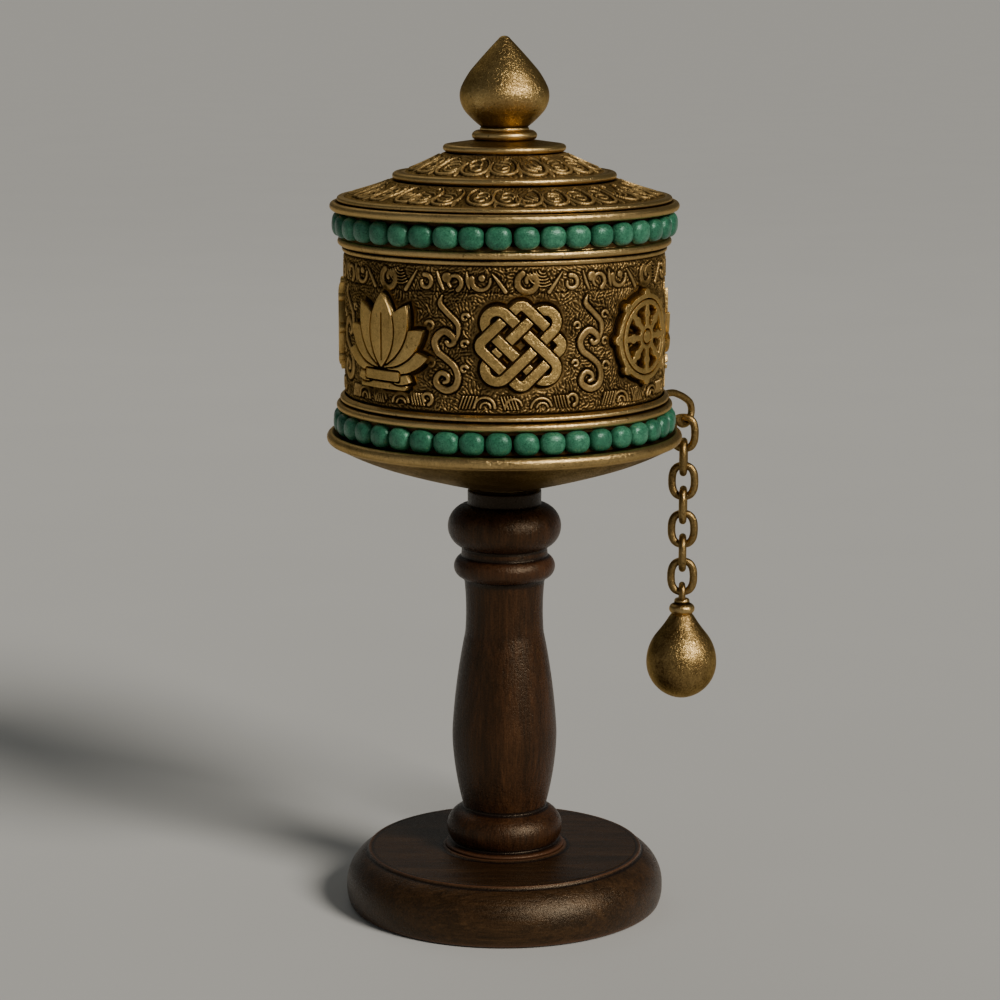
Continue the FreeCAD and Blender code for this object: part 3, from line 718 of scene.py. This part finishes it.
def outline_loops(shape, span=13.4, cell=0.13):
    """Closed outlines of a shape: where its distance is zero on a square grid of cells."""
    ticks = np.arange(-span, span + cell, cell)
    x, y = np.meshgrid(ticks, ticks, indexing="ij")
    value = shape(x, y) + 1e-7
    inside = value < 0
    corners = (inside[:-1, :-1] * 1 + inside[1:, :-1] * 2 + inside[1:, 1:] * 4
               + inside[:-1, 1:] * 8)
    edges_of = {1: [(3, 0)], 2: [(0, 1)], 3: [(3, 1)], 4: [(1, 2)], 5: [(3, 0), (1, 2)],
                6: [(0, 2)], 7: [(3, 2)], 8: [(2, 3)], 9: [(2, 0)], 10: [(2, 3), (0, 1)],
                11: [(2, 1)], 12: [(1, 3)], 13: [(1, 0)], 14: [(0, 3)]}
    ends = (((0, 0), (1, 0)), ((1, 0), (1, 1)), ((0, 1), (1, 1)), ((0, 0), (0, 1)))
    following = {}
    for i, j in zip(*np.nonzero((corners > 0) & (corners < 15))):
        for start, end in edges_of[corners[i, j]]:
            keys = []
            for edge in (start, end):
                (ai, aj), (bi, bj) = ends[edge]
                keys.append(((i + ai, j + aj), (i + bi, j + bj)))
            following[keys[0]] = keys[1]
    loops = []
    while following:
        key = next(iter(following))
        loop = []
        while key in following:
            (ai, aj), (bi, bj) = key
            share = value[ai, aj] / (value[ai, aj] - value[bi, bj])
            loop.append((ticks[ai] + (ticks[bi] - ticks[ai]) * share,
                         ticks[aj] + (ticks[bj] - ticks[aj]) * share))
            key = following.pop(key)
        if len(loop) > 12:
            loops.append(np.array(loop))
    return loops


def thinned(loop, slack=0.012, least=0.3):
    """Fewer points on a closed line, kept where it bends."""
    keep = [loop[0]]
    for index in range(1, len(loop)):
        ahead = loop[(index + 1) % len(loop)]
        chord = ahead - keep[-1]
        length = np.hypot(*chord)
        between = loop[index] - keep[-1]
        off = abs(chord[0] * between[1] - chord[1] * between[0]) / max(length, 1e-9)
        if off > slack or np.hypot(*between) > least * 3:
            keep.append(loop[index])
    return keep


def emblem_piece(number, shape):
    """One emblem: its outline as a bevelled plate, sliced and bent round the wall."""
    sunk, bevel = 0.6, 0.2
    raised = reach_of_emblems - WALL_RADIUS
    half = (raised + sunk) / 2
    curve = bpy.data.curves.new("outline", "CURVE")
    curve.dimensions = "2D"
    curve.fill_mode = "BOTH"
    curve.extrude = half - bevel
    curve.bevel_depth = bevel
    curve.bevel_resolution = 1
    curve.offset = -bevel
    for loop in outline_loops(shape):
        points = thinned(loop)
        spline = curve.splines.new("POLY")
        spline.points.add(len(points) - 1)
        spline.use_cyclic_u = True
        for spot, (x, y) in zip(spline.points, points):
            spot.co = (x, y, 0, 1)
    holder = bpy.data.objects.new("outline", curve)
    bpy.context.scene.collection.objects.link(holder)
    bpy.context.view_layer.update()
    flat = bpy.data.meshes.new_from_object(
        holder.evaluated_get(bpy.context.evaluated_depsgraph_get()))
    bpy.data.objects.remove(holder)
    work = bmesh.new()
    work.from_mesh(flat)
    bpy.data.meshes.remove(flat)
    bmesh.ops.remove_doubles(work, verts=work.verts, dist=0.004)
    for place in np.arange(-12.6, 12.7, 0.9):
        bmesh.ops.bisect_plane(work, geom=work.verts[:] + work.edges[:] + work.faces[:],
                               plane_co=(place, 0, 0), plane_no=(1, 0, 0), dist=1e-4)
    turn = math.radians(PANEL_PHASE + number * 360 / PANELS)
    values = []
    for vert in work.verts:
        x, y, z = vert.co
        radius = WALL_RADIUS - sunk + half + z
        angle = turn + x / WALL_RADIUS
        values.append(0.84 + 0.14 * (z > half - bevel * 1.2) * (abs(z - half) > bevel * 0.2))
        vert.co = (radius * math.sin(angle) * MM, -radius * math.cos(angle) * MM,
                   (EMBLEM_MIDDLE + y) * MM)
    bmesh.ops.recalc_face_normals(work, faces=work.faces)
    mesh = bpy.data.meshes.new(f"emblem_{number + 1}")
    work.to_mesh(mesh)
    work.free()
    set_attribute(mesh, "relief", values)
    return finish_piece(mesh.name, mesh, GILT, "drum", ["emblems"], 30.0)


reach_of_emblems = 40.3
for number in range(PANELS):
    emblem_piece(number, EMBLEMS[number % len(EMBLEMS)])


# ------------------------------------------------------------------ chased ground

def smooth_line(points, steps=7):
    """A Catmull-Rom line through given points (x, y, half width)."""
    points = np.array(points, float)
    ends = np.vstack([2 * points[0] - points[1], points, 2 * points[-1] - points[-2]])
    line = []
    for p0, p1, p2, p3 in zip(ends, ends[1:], ends[2:], ends[3:]):
        for t in np.arange(steps) / steps:
            line.append(0.5 * (2 * p1 + (p2 - p0) * t + (2 * p0 - 5 * p1 + 4 * p2 - p3) * t * t
                               + (3 * p1 - p0 - 3 * p2 + p3) * t ** 3))
    line.append(points[-1])
    return np.array(line)


class Relief:
    """A sheet of heights in millimetres, to be wrapped round a ring."""

    def __init__(self, wide, tall, cell, wraps=True):
        self.columns = int(round(wide / cell))
        self.rows = int(round(tall / cell)) + 1
        self.wide, self.tall = wide, tall
        self.s = np.arange(self.columns) * wide / self.columns
        self.v = np.linspace(0, tall, self.rows)
        self.ground = np.zeros((self.columns, self.rows))
        self.raised = np.zeros((self.columns, self.rows))
        self.cover = np.zeros((self.columns, self.rows))

    def window(self, s_low, s_high, v_low, v_high):
        """Indices and coordinates of the grid points in a box; s may run past the seam."""
        pitch = self.wide / self.columns
        columns = np.arange(math.floor(s_low / pitch), math.ceil(s_high / pitch) + 1)
        rows = np.nonzero((self.v >= v_low) & (self.v <= v_high))[0]
        if not len(rows):
            return None
        index = np.ix_(columns % self.columns, rows)
        return index, columns[:, None] * pitch, self.v[None, rows]

    def grain(self, chance, wave, length, depth, each, patch=5.5, stray=0.35):
        """Chisel hatching: many short packets of parallel cuts, in patches of one direction."""
        layer = np.zeros_like(self.ground)
        across_patches = int(self.wide / patch) + 1
        up_patches = int(self.tall / patch) + 3
        leans = [[chance.uniform(0, math.pi) for _ in range(up_patches)]
                 for _ in range(across_patches)]
        for _ in range(int(self.wide * self.tall / each)):
            s0, v0 = chance.uniform(0, self.wide), chance.uniform(-1, self.tall + 1)
            lean = leans[int(s0 / patch)][int(v0 / patch + 1)] + chance.gauss(0, stray)
            spacing = wave * chance.uniform(0.85, 1.2)
            size = length * chance.uniform(0.7, 1.2)
            span = 1.8 * max(size, wave)
            found = self.window(s0 - span, s0 + span, v0 - span, v0 + span)
            if not found:
                continue
            index, s, v = found
            ds, dv = s - s0, v - v0
            across = ds * math.cos(lean) + dv * math.sin(lean)
            along = dv * math.cos(lean) - ds * math.sin(lean)
            bell = np.exp(-(across / (0.85 * wave)) ** 2 - (along / (0.8 * size)) ** 2)
            layer[index] += bell * np.cos(2 * math.pi * across / spacing
                                          + chance.uniform(0, 6.28))
        self.ground += depth * np.tanh(layer * 1.4)

    def stroke(self, points, height, s0, v0, groove=0.3, mirror=1):
        """A raised rounded line with a cut groove along both sides."""
        line = smooth_line([(s0 + mirror * x, v0 + y, w) for x, y, w in points])
        margin = line[:, 2].max() + 1.4
        found = self.window(line[:, 0].min() - margin, line[:, 0].max() + margin,
                            line[:, 1].min() - margin, line[:, 1].max() + margin)
        if not found:
            return
        index, s, v = found
        near = np.full(np.broadcast(s, v).shape, 99.0)
        for (ax, ay, aw), (bx, by, bw) in zip(line, line[1:]):
            dx, dy = bx - ax, by - ay
            t = np.clip(((s - ax) * dx + (v - ay) * dy) / max(dx * dx + dy * dy, 1e-9), 0, 1)
            width = aw + (bw - aw) * t
            near = np.minimum(near, (np.hypot(s - ax - t * dx, v - ay - t * dy) - width))
        widest = line[:, 2].max()
        body = np.clip(-near / widest, 0, 1)
        dome = height * np.sqrt(np.clip(1 - (1 - body) ** 4, 0, 1))
        cut = -groove * np.exp(-(np.maximum(near, 0) / 0.35) ** 2) * (near > 0)
        self.raised[index] = np.where(near <= 0, np.maximum(self.raised[index], dome),
                                      np.where(self.raised[index] > 0.02, self.raised[index],
                                               np.minimum(self.raised[index], cut)))
        self.cover[index] = np.maximum(self.cover[index], np.clip(1 - near / 0.5, 0, 1))

    def heights(self):
        return self.ground * (1 - self.cover) + self.raised


def arc_stroke(x, y, radius, start, end, first, last, turns=10, tighten=0.0):
    """Points of a curl: an arc whose radius and half width change along the way."""
    points = []
    for i in range(turns + 1):
        t = i / turns
        angle = math.radians(start + (end - start) * t)
        r = radius * (1 - tighten * t)
        points.append((x + r * math.cos(angle), y + r * math.sin(angle),
                       first + (last - first) * t))
    return points


def blurred(sheet, cells):
    """The sheet averaged over a square of cells; it wraps along its length."""
    for axis in (0, 1):
        total = np.zeros_like(sheet)
        for shift in range(-cells, cells + 1):
            if axis == 0:
                total += np.roll(sheet, shift, 0)
            else:
                rows = np.clip(np.arange(sheet.shape[1]) + shift, 0, sheet.shape[1] - 1)
                total += sheet[:, rows]
        sheet = total / (2 * cells + 1)
    return sheet


def ring_pieces(name, relief, base, inner, pieces, body, nodes, material, phase=0.0, tint=0.42):
    """Wrap a relief round the axis as closed solids.

    base(v) gives (radius, height, out_r, out_z): the plain surface and its outward direction.
    inner(v) gives the (radius, height) of the inside. Normals come from the whole sheet, so that
    neighbouring pieces meet without a seam.
    """
    heights = relief.heights()
    rub = heights - blurred(heights, 5)
    value = np.clip(tint + heights * 0.46 + rub * 1.1, 0.0, 0.92)
    radius, level, out_r, out_z = (np.asarray(a)[None, :] for a in base(relief.v))
    angle = (phase + relief.s / relief.wide * 2 * math.pi)[:, None]
    r = radius + heights * out_r
    z = level + heights * out_z + np.zeros_like(r)
    surface = np.stack([r * np.sin(angle), -r * np.cos(angle), z], -1)
    along = np.roll(surface, -1, 0) - np.roll(surface, 1, 0)
    upward = np.gradient(surface, axis=1)
    normal = np.cross(along, upward)
    normal /= np.linalg.norm(normal, axis=-1, keepdims=True)
    (low_r, low_z), (high_r, high_z) = inner(0.0), inner(relief.tall)
    per, made = relief.columns / pieces, []
    for number in range(pieces):
        start, end = int(round(number * per)), int(round((number + 1) * per))
        columns = np.arange(start, end + 1) % relief.columns
        closed = pieces == 1
        if closed:
            columns = np.arange(relief.columns)
        count, rows = len(columns), relief.rows
        outer = surface[columns].reshape(-1, 3)
        spin = angle[columns, 0]
        rim = [np.stack([rr * np.sin(spin), -rr * np.cos(spin), np.full(count, zz)], -1)
               for rr, zz in ((low_r, low_z), (high_r, high_z))]
        points = np.vstack([outer] + rim) * MM
        base_low, base_high = count * rows, count * rows + count
        faces = []
        for c in range(count if closed else count - 1):
            n = (c + 1) % count
            a, b = c * rows, n * rows
            faces += [(a + k, b + k, b + k + 1, a + k + 1) for k in range(rows - 1)]
            faces.append((a + rows - 1, b + rows - 1, base_high + n, base_high + c))
            faces.append((base_high + c, base_high + n, base_low + n, base_low + c))
            faces.append((base_low + c, base_low + n, b, a))
        if not closed:
            faces.append([k for k in range(rows)] + [base_high, base_low])
            last = (count - 1) * rows
            faces.append([base_low + count - 1, base_high + count - 1]
                         + [last + k for k in reversed(range(rows))])
        label = name if closed else f"{name}_{number + 1}"
        mesh = bpy.data.meshes.new(label)
        mesh.from_pydata(points.tolist(), [], faces)
        values = np.concatenate([value[columns].reshape(-1), np.full(2 * count, 0.3)])
        set_attribute(mesh, "relief", values)
        piece = finish_piece(label, mesh, material, body, nodes, sharp=None)
        sheet_normals = np.vstack([normal[columns].reshape(-1, 3)] + [np.zeros((count, 3))] * 2)
        mesh.normals_split_custom_set_from_vertices(sheet_normals.tolist())
        made.append(piece)
    return made


# ------------------------------------------------------------------ the drum's wall

WALL_LOW, WALL_HIGH = high("lower_collar_ring"), low("upper_collar_ring")
CELL = 0.145

S_SCROLL_LOWER = [
    (0.0, 0.55, 0.5), (0.78, -0.14, 0.55), (1.87, 0.55, 0.6), (1.4, 1.93, 0.7), (-0.78, 3.0, 0.8),
    (-2.95, 0.83, 0.8), (-2.33, -1.65, 0.75), (-0.16, -3.3, 0.7), (2.0, -5.2, 0.7),
    (2.8, -7.7, 0.75), (2.0, -9.9, 0.8), (-0.16, -10.7, 0.8), (-2.33, -9.6, 0.75),
    (-2.64, -8.0, 0.65), (-1.4, -6.7, 0.6), (0.16, -7.3, 0.55), (0.3, -8.5, 0.5), (-0.6, -8.9, 0.45),
]
S_SCROLL_UPPER = [
    (-1.1, 11.3, 0.2), (-1.55, 9.35, 0.6), (0.47, 7.15, 0.62), (2.64, 4.95, 0.6),
    (2.95, 3.0, 0.55), (2.5, 1.1, 0.3),
]


def panel_ornaments(relief, s0, v0, chance):
    """Scrolls between two emblems and the curls, leaves and dots above and below one."""
    half_panel = relief.wide / PANELS / 2
    for scroll, height in ((S_SCROLL_LOWER, 0.4), (S_SCROLL_UPPER, 0.36)):
        broad = [(x, y, w * 1.08) for x, y, w in scroll]
        relief.stroke(broad, height, s0 + half_panel, v0)
    top, bottom = v0 + 14.6, v0 - 13.3
    jitter = chance.uniform(-0.5, 0.5)
    curls = [
        (arc_stroke(1.6 + jitter, 0.0, 2.25, 120, 400, 0.8, 0.72), top),
        (arc_stroke(2.3 + jitter, 0.45, 0.9, 40, 210, 0.72, 0.5, 5), top),
        (arc_stroke(-9.2, 0.4, 2.2, 170, 370, 0.7, 0.35, 7), top),
        (arc_stroke(-9.0, 0.9, 0.35, 0, 300, 0.5, 0.5, 4), top),
        (arc_stroke(12.2, -0.3, 1.7, 100, -190, 0.6, 0.4, 8, 0.35), top),
        (arc_stroke(-15.6, -0.2, 1.9, -60, 230, 0.6, 0.35, 8, 0.3), top),
        ([(-6.6, 1.9, 0.16), (-5.2, 0.2, 0.42), (-3.5, -2.2, 0.5)], top),
        ([(9.8, 2.2, 0.16), (8.4, 0.1, 0.42), (6.7, -2.3, 0.55)], top),
        ([(15.2, 2.2, 0.16), (15.9, 0.0, 0.42), (16.8, -1.9, 0.25)], top),
        ([(-12.6, 2.2, 0.2), (-12.3, 0.0, 0.5), (-11.9, -1.6, 0.2)], top),
        (arc_stroke(-0.9, -0.9, 0.3, 0, 300, 0.3, 0.3, 4), top),
        (arc_stroke(17.6, 0.9, 0.3, 0, 300, 0.95, 0.95, 4), top),
        (arc_stroke(12.4, 0.4, 1.5, -70, 230, 0.5, 0.35, 8, 0.4), bottom),
        (arc_stroke(4.9, -1.5, 2.5, 15, 172, 0.32, 0.3, 7), bottom),
        (arc_stroke(5.1, -1.5, 1.4, 20, 165, 0.3, 0.28, 5), bottom),
        (arc_stroke(-1.6, -1.0, 1.9, 175, 10, 0.34, 0.26, 7), bottom),
        (arc_stroke(-8.4, -1.2, 2.4, 0, 180, 0.36, 0.3, 7), bottom),
        (arc_stroke(-8.2, -1.2, 1.2, 0, 180, 0.3, 0.26, 5), bottom),
    ]
    for step in range(5):
        spread = 1.0 + 0.72 * step
        curls.append((arc_stroke(5.2, 2.9, spread, 195, 300, 0.2, 0.17, 5), top))
        curls.append(([(-4.6 + 0.75 * step, 1.5, 0.16), (-3.6 + 0.75 * step, -1.5, 0.26)], bottom))
        curls.append(([(8.0 + 0.75 * step, 1.3, 0.26), (8.7 + 0.75 * step, -1.3, 0.16)], bottom))
        curls.append(([(-14.4 + 0.8 * step, -1.5, 0.16), (-13.4 + 0.8 * step, 1.3, 0.26)], bottom))
    for points, level in curls:
        relief.stroke(points, 0.32, s0, level, 0.2)
    for side, up in ((-1, 4.2), (-1, -4.6), (1, 6.4), (1, 0.2), (1, -5.6)):
        place = s0 + half_panel + side * chance.uniform(3.6, 4.6)
        curl = arc_stroke(0, 0, chance.uniform(0.8, 1.15), 20, 300, 0.42, 0.3, 6, 0.35)
        relief.stroke(curl, 0.34, place, v0 + up, 0.15, side)


def drum_wall():
    """The chased wall, in one piece per panel."""
    chance = random.Random(11)
    wide = 2 * math.pi * WALL_RADIUS
    relief = Relief(wide, WALL_HIGH - WALL_LOW, CELL)
    relief.grain(chance, 0.78, 1.25, 0.125, 0.5, 2.6, 0.45)
    relief.grain(chance, 1.5, 1.2, 0.05, 1.4, 3.0, 1.5)
    v0 = EMBLEM_MIDDLE - WALL_LOW
    panel = wide / PANELS
    for number in range(PANELS):
        s0 = number * panel
        panel_ornaments(relief, s0, v0, chance)
        shape = EMBLEMS[number % len(EMBLEMS)]
        index, s, v = relief.window(s0 - 14.5, s0 + 14.5, v0 - 13.5, v0 + 13.5)
        distance = shape(s - s0 + 0 * v, v - v0 + 0 * s)
        calm, moat = (np.clip(1 - (distance - near) / fade, 0, 1) for near, fade in
                      ((0.8, 1.5), (0.45, 0.6)))
        calm, moat = (share * share * (3 - 2 * share) for share in (calm, moat))
        relief.ground[index] = relief.ground[index] * (1 - calm) - 0.08 * calm - 0.36 * moat
        relief.raised[index] *= 1 - calm
    edge = np.minimum(relief.v, relief.tall - relief.v)
    border = np.clip(1 - edge / 0.7, 0, 1)[None, :]
    relief.ground = relief.ground * (1 - border) - 0.3 * border
    line = np.exp(-((relief.v - v0 - 12.1) / 0.22) ** 2)[None, :]
    relief.raised -= 0.2 * line * (relief.cover < 0.05)
    flat = np.ones_like(relief.v)

    def base(v):
        return (WALL_RADIUS - 0.25) * flat, WALL_LOW + v, flat, 0 * flat

    def inner(v):
        return WALL_RADIUS - 1.3, WALL_LOW + v

    return ring_pieces("drum_wall", relief, base, inner, PANELS, "drum", ["drum_shell"], CHASED,
                       phase=math.radians(PANEL_PHASE))


drum_wall()


# ------------------------------------------------------------------ the embossed lid

def lid_band(name, start, end, rise, petals, petal_length, inset, cell, seed, tint, lean=0.0):
    """A cone-like band of the lid, with a row of carved scallops that open upwards.

    start and end are (radius, height above the lid's lowest point) of its lower and upper edge.
    """
    chance = random.Random(seed)
    line = np.array([np.array(start)] + arc_points(start, end, rise, 0.4))
    steps = np.concatenate([[0], np.cumsum(np.hypot(*np.diff(line, axis=0).T))])
    tall, mean = steps[-1], (start[0] + end[0]) / 2
    wide = 2 * math.pi * mean
    relief = Relief(wide, tall, cell)
    relief.grain(chance, 0.95, 1.3, 0.08, 0.8)
    relief.grain(chance, 0.6, 0.5, 0.04, 0.7, stray=1.5)
    pitch = wide / petals
    for number in range(petals):
        s0 = number * pitch + chance.uniform(-0.25, 0.25)
        half = pitch * 0.47
        drop = petal_length * chance.uniform(0.95, 1.02)
        side = chance.choice((-1, 1, 1))
        rim = [(-0.9, -0.3, 0.10), (-1.0, -0.52, 0.20), (-0.88, -0.78, 0.32),
               (-0.5, -0.95, 0.38), (0.0, -1.0, 0.42), (0.5, -0.95, 0.40), (0.9, -0.76, 0.34),
               (1.0, -0.5, 0.26), (0.86, -0.24, 0.20), (0.45, -0.1, 0.15), (0.05, -0.16, 0.10)]
        slant = [(half * x + lean * drop * y, drop * y, w) for x, y, w in rim]
        relief.stroke(slant, 0.42, s0, tall - inset, 0.24, side)
        kind = chance.randrange(3)
        middle = tall - inset - drop * 0.6
        if kind == 0:
            inside = [arc_stroke(0, -0.3, half * 0.55, 150, -190, 0.34, 0.22, 8, 0.45),
                      arc_stroke(-half * 0.15, 2.0, half * 0.5, 200, -20, 0.3, 0.2, 6)]
        elif kind == 1:
            inside = [arc_stroke(-half * 0.1, -0.3, half * 0.6, 190, 380, 0.34, 0.22, 7, 0.3),
                      [(-half * 0.55, 1.6, 0.18), (half * 0.1, 1.2, 0.32), (half * 0.35, 0.3, 0.28),
                       (-half * 0.1, -0.4, 0.18)],
                      [(-half * 0.3, 2.9, 0.18), (half * 0.3, 2.5, 0.30), (half * 0.5, 1.9, 0.18)]]
        else:
            inside = [[(-half * 0.6, 1.6, 0.16), (-half * 0.45, -0.4, 0.32), (half * 0.2, -1.5, 0.18)],
                      [(-half * 0.2, 1.7, 0.16), (half * 0.0, 0.3, 0.3), (half * 0.6, -0.7, 0.18)],
                      [(half * 0.3, 1.8, 0.14), (half * 0.5, 0.8, 0.24), (half * 0.75, 0.4, 0.14)]]
        for stroke in inside:
            relief.stroke(stroke, 0.3, s0 - lean * drop * 0.6 * side, middle, 0.15, side)
        filler = [(0, -drop * 0.66, 0.2), (0, -drop * 0.93, 0.42), (0, -drop * 1.06, 0.22)]
        relief.stroke(filler, 0.26, s0 + pitch / 2 - lean * drop * side, tall - inset, 0.15)
    edge = np.minimum(relief.v, relief.tall - relief.v)
    border = np.clip(1 - edge / 0.5, 0, 1)[None, :]
    relief.ground = relief.ground * (1 - border) - 0.15 * border
    relief.raised = relief.raised * (1 - border)
    bottom = low("lid_dome")

    def base(v):
        r, z = np.interp(v, steps, line[:, 0]), np.interp(v, steps, line[:, 1])
        dr, dz = np.gradient(r, v), np.gradient(z, v)
        size = np.hypot(dr, dz)
        return r, bottom + z, dz / size, -dr / size

    def inner(v):
        r, z = end if v > 0 else start
        return r - 0.4, bottom + z - 1.1

    return ring_pieces(name, relief, base, inner, 1, "drum", ["lid_dome"], WEATHERED, tint=tint)


LID_CELL = 0.2
lid_band("lid_lower_band", (38.9, 1.15), (27.0, 5.1), -0.3, 33, 10.2, 0.6, LID_CELL,
         5, 0.50, 0.12)
lid_band("lid_upper_band", (24.3, 6.9), (14.2, 11.65), -0.15, 18, 9.0, 0.8, LID_CELL * 0.85,
         8, 0.58)


# ------------------------------------------------------------------ chain and weight

def swept_wire(name, line, radius, closed, material, body, nodes, sides=0.0, around=16):
    """Round wire along a line of points in millimetres."""
    line = np.array(line, float)
    count = len(line)
    if closed:
        way = np.roll(line, -1, 0) - np.roll(line, 1, 0)
    else:
        way = np.gradient(line, axis=0)
    way /= np.linalg.norm(way, axis=1)[:, None]
    flat = np.cross(way[0], way[count // 4])
    side = flat / np.linalg.norm(flat)
    points, faces, values = [], [], []
    chance = random.Random(name)
    for spot, direction in zip(line, way):
        other = np.cross(direction, side)
        other /= np.linalg.norm(other)
        across = np.cross(other, direction)
        size = radius * (1 + chance.uniform(-0.012, 0.012)) * (1 + sides * abs(direction[2]))
        for k in range(around):
            angle = 2 * math.pi * k / around
            points.append((spot + size * (math.cos(angle) * other
                                          + math.sin(angle) * across)) * MM)
            values.append(0.62)
    for i in range(count if closed else count - 1):
        a, b = i * around, ((i + 1) % count) * around
        for k in range(around):
            n = (k + 1) % around
            faces.append((a + k, a + n, b + n, b + k))
    if not closed:
        faces.append(list(range(around))[::-1])
        faces.append([(count - 1) * around + k for k in range(around)])
    mesh = mesh_of(name, points, faces)
    set_attribute(mesh, "relief", values)
    work = bmesh.new()
    work.from_mesh(mesh)
    bmesh.ops.recalc_face_normals(work, faces=work.faces)
    work.to_mesh(mesh)
    work.free()
    return finish_piece(name, mesh, material, body, nodes)


WIRE = 0.9
LINK_TURNS = (-15.0, 84.0, -8.0, 84.0, -4.0, 86.0, -3.6)


def link_line(middle, turn, half_tall, half_wide, steps=44):
    """The centreline of an oval link in an upright plane."""
    turn = math.radians(turn)
    line = []
    for i in range(steps):
        angle = 2 * math.pi * i / steps
        cos, sin = math.cos(angle), math.sin(angle)
        x = half_wide * math.copysign(abs(cos) ** 0.8, cos)
        z = half_tall * math.copysign(abs(sin) ** 0.8, sin)
        line.append((middle.x + x * math.cos(turn), middle.y + x * math.sin(turn), middle.z + z))
    return line


for number, turn in enumerate(LINK_TURNS):
    node = f"link_{number + 1}"
    half_tall = (high(node) - low(node)) / 2 - WIRE
    swept_wire(node, link_line(centre(node), turn, half_tall, 2.85), WIRE, True, BRASS, node,
               [node], 0.1)

EYE_TURN = math.radians(52.0)
EYE_RADIUS = 3.25
hang = centre("link_1")
eye_middle = Vector((hang.x, hang.y, low("chain_eye") + WIRE + EYE_RADIUS))
eye_flat = [
    (-10.2, 5.0), (-7.6, 5.45), (-4.8, 5.3), (-1.9, 4.4), (0.6, 3.25), (2.5, 1.95), (3.25, 0.1),
    (2.75, -1.75), (1.25, -3.0), (-0.75, -3.15), (-2.35, -2.2), (-2.95, -0.9),
]
eye_line = smooth_line([(x, z, 0) for x, z in eye_flat], 5)
swept_wire("chain_eye", [(eye_middle.x + x * math.cos(EYE_TURN), eye_middle.y
                          + x * math.sin(EYE_TURN), eye_middle.z + z) for x, z, _ in eye_line],
           WIRE, False, BRASS, "drum", ["chain_eye"])

ring_middle = centre("weight_eye")
ring = [(ring_middle.x, ring_middle.y + 1.9 * math.cos(a), ring_middle.z + 1.9 * math.sin(a))
        for a in np.arange(36) * math.pi / 18]
swept_wire("weight_eye", ring, 0.8, True, BRASS, "weight", ["weight_eye"])

hang_xy = (hang.x, hang.y)
turned("weight_collar", "weight_collar", [
    (0.0, 0.0), (2.5, 0.0), (2.5, 2.4, 0.75), (1.9, 2.7), (1.6, 3.8, 0.2), (0.0, 3.8),
], BRASS, "weight", 64, centre_xy=hang_xy, corner=0.15)

turned("weight_drop", "weight_drop", [
    (0.0, 0.0), (8.95, 9.4, 2.62), (6.2, 16.9, 0.7), (3.1, 21.3, -0.1), (2.5, 22.0), (0.0, 22.0),
], RUBBED, "weight", 96, centre_xy=hang_xy, relief_gain=0.8)

# ------------------------------------------------------------------ CAD pieces that stay

KEPT = {
    "felt_pad": FELT, "base_screw": STEEL, "axle": STEEL, "thrust_washer": BRASS,
    "lower_bush": PLAIN_BRASS, "upper_bush": PLAIN_BRASS, "scroll_core": POST_WOOD,
    "prayer_scroll": PAPER,
}
for node, material in KEPT.items():
    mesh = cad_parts[node].data
    mesh.materials.clear()
    mesh.materials.append(material)

# ------------------------------------------------------------------ table and light

mesh = bpy.data.meshes.new("table")
mesh.from_pydata([(-60, -60, 0), (60, -60, 0), (60, 60, 0), (-60, 60, 0)], [], [(0, 1, 2, 3)])
mesh.materials.append(table_top())
table = bpy.data.objects.new("table", mesh)
bpy.context.scene.collection.objects.link(table)


def soft_light(name, place, size, power, colour, aim=(0, 0, 0.12)):
    light = bpy.data.lights.new(name, "AREA")
    light.shape = "RECTANGLE"
    light.size, light.size_y = size
    light.energy = power
    light.color = colour
    lamp = bpy.data.objects.new(name, light)
    bpy.context.scene.collection.objects.link(lamp)
    lamp.location = place
    lamp.rotation_euler = (Vector(aim) - Vector(place)).to_track_quat("-Z", "Y").to_euler()
    return lamp


sun = bpy.data.lights.new("key", "SUN")
sun.energy = 3.2
sun.angle = math.radians(20)
sun.color = (1.0, 0.95, 0.87)
lamp = bpy.data.objects.new("key", sun)
bpy.context.scene.collection.objects.link(lamp)
lamp.rotation_euler = Vector((-1.0, 1.0, -0.92)).to_track_quat("-Z", "Y").to_euler()
soft_light("fill", (-1.5, -1.2, 0.7), (1.0, 1.0), 1.3, (0.94, 0.97, 1.0))
soft_light("back", (-0.35, 0.95, 1.25), (1.0, 1.0), 1.6, (1.0, 0.97, 0.92))

world = bpy.data.worlds.new("room")
world.use_nodes = True
world.node_tree.nodes["Background"].inputs["Color"].default_value = (0.30, 0.31, 0.30, 1)
world.node_tree.nodes["Background"].inputs["Strength"].default_value = 0.3
bpy.context.scene.world = world
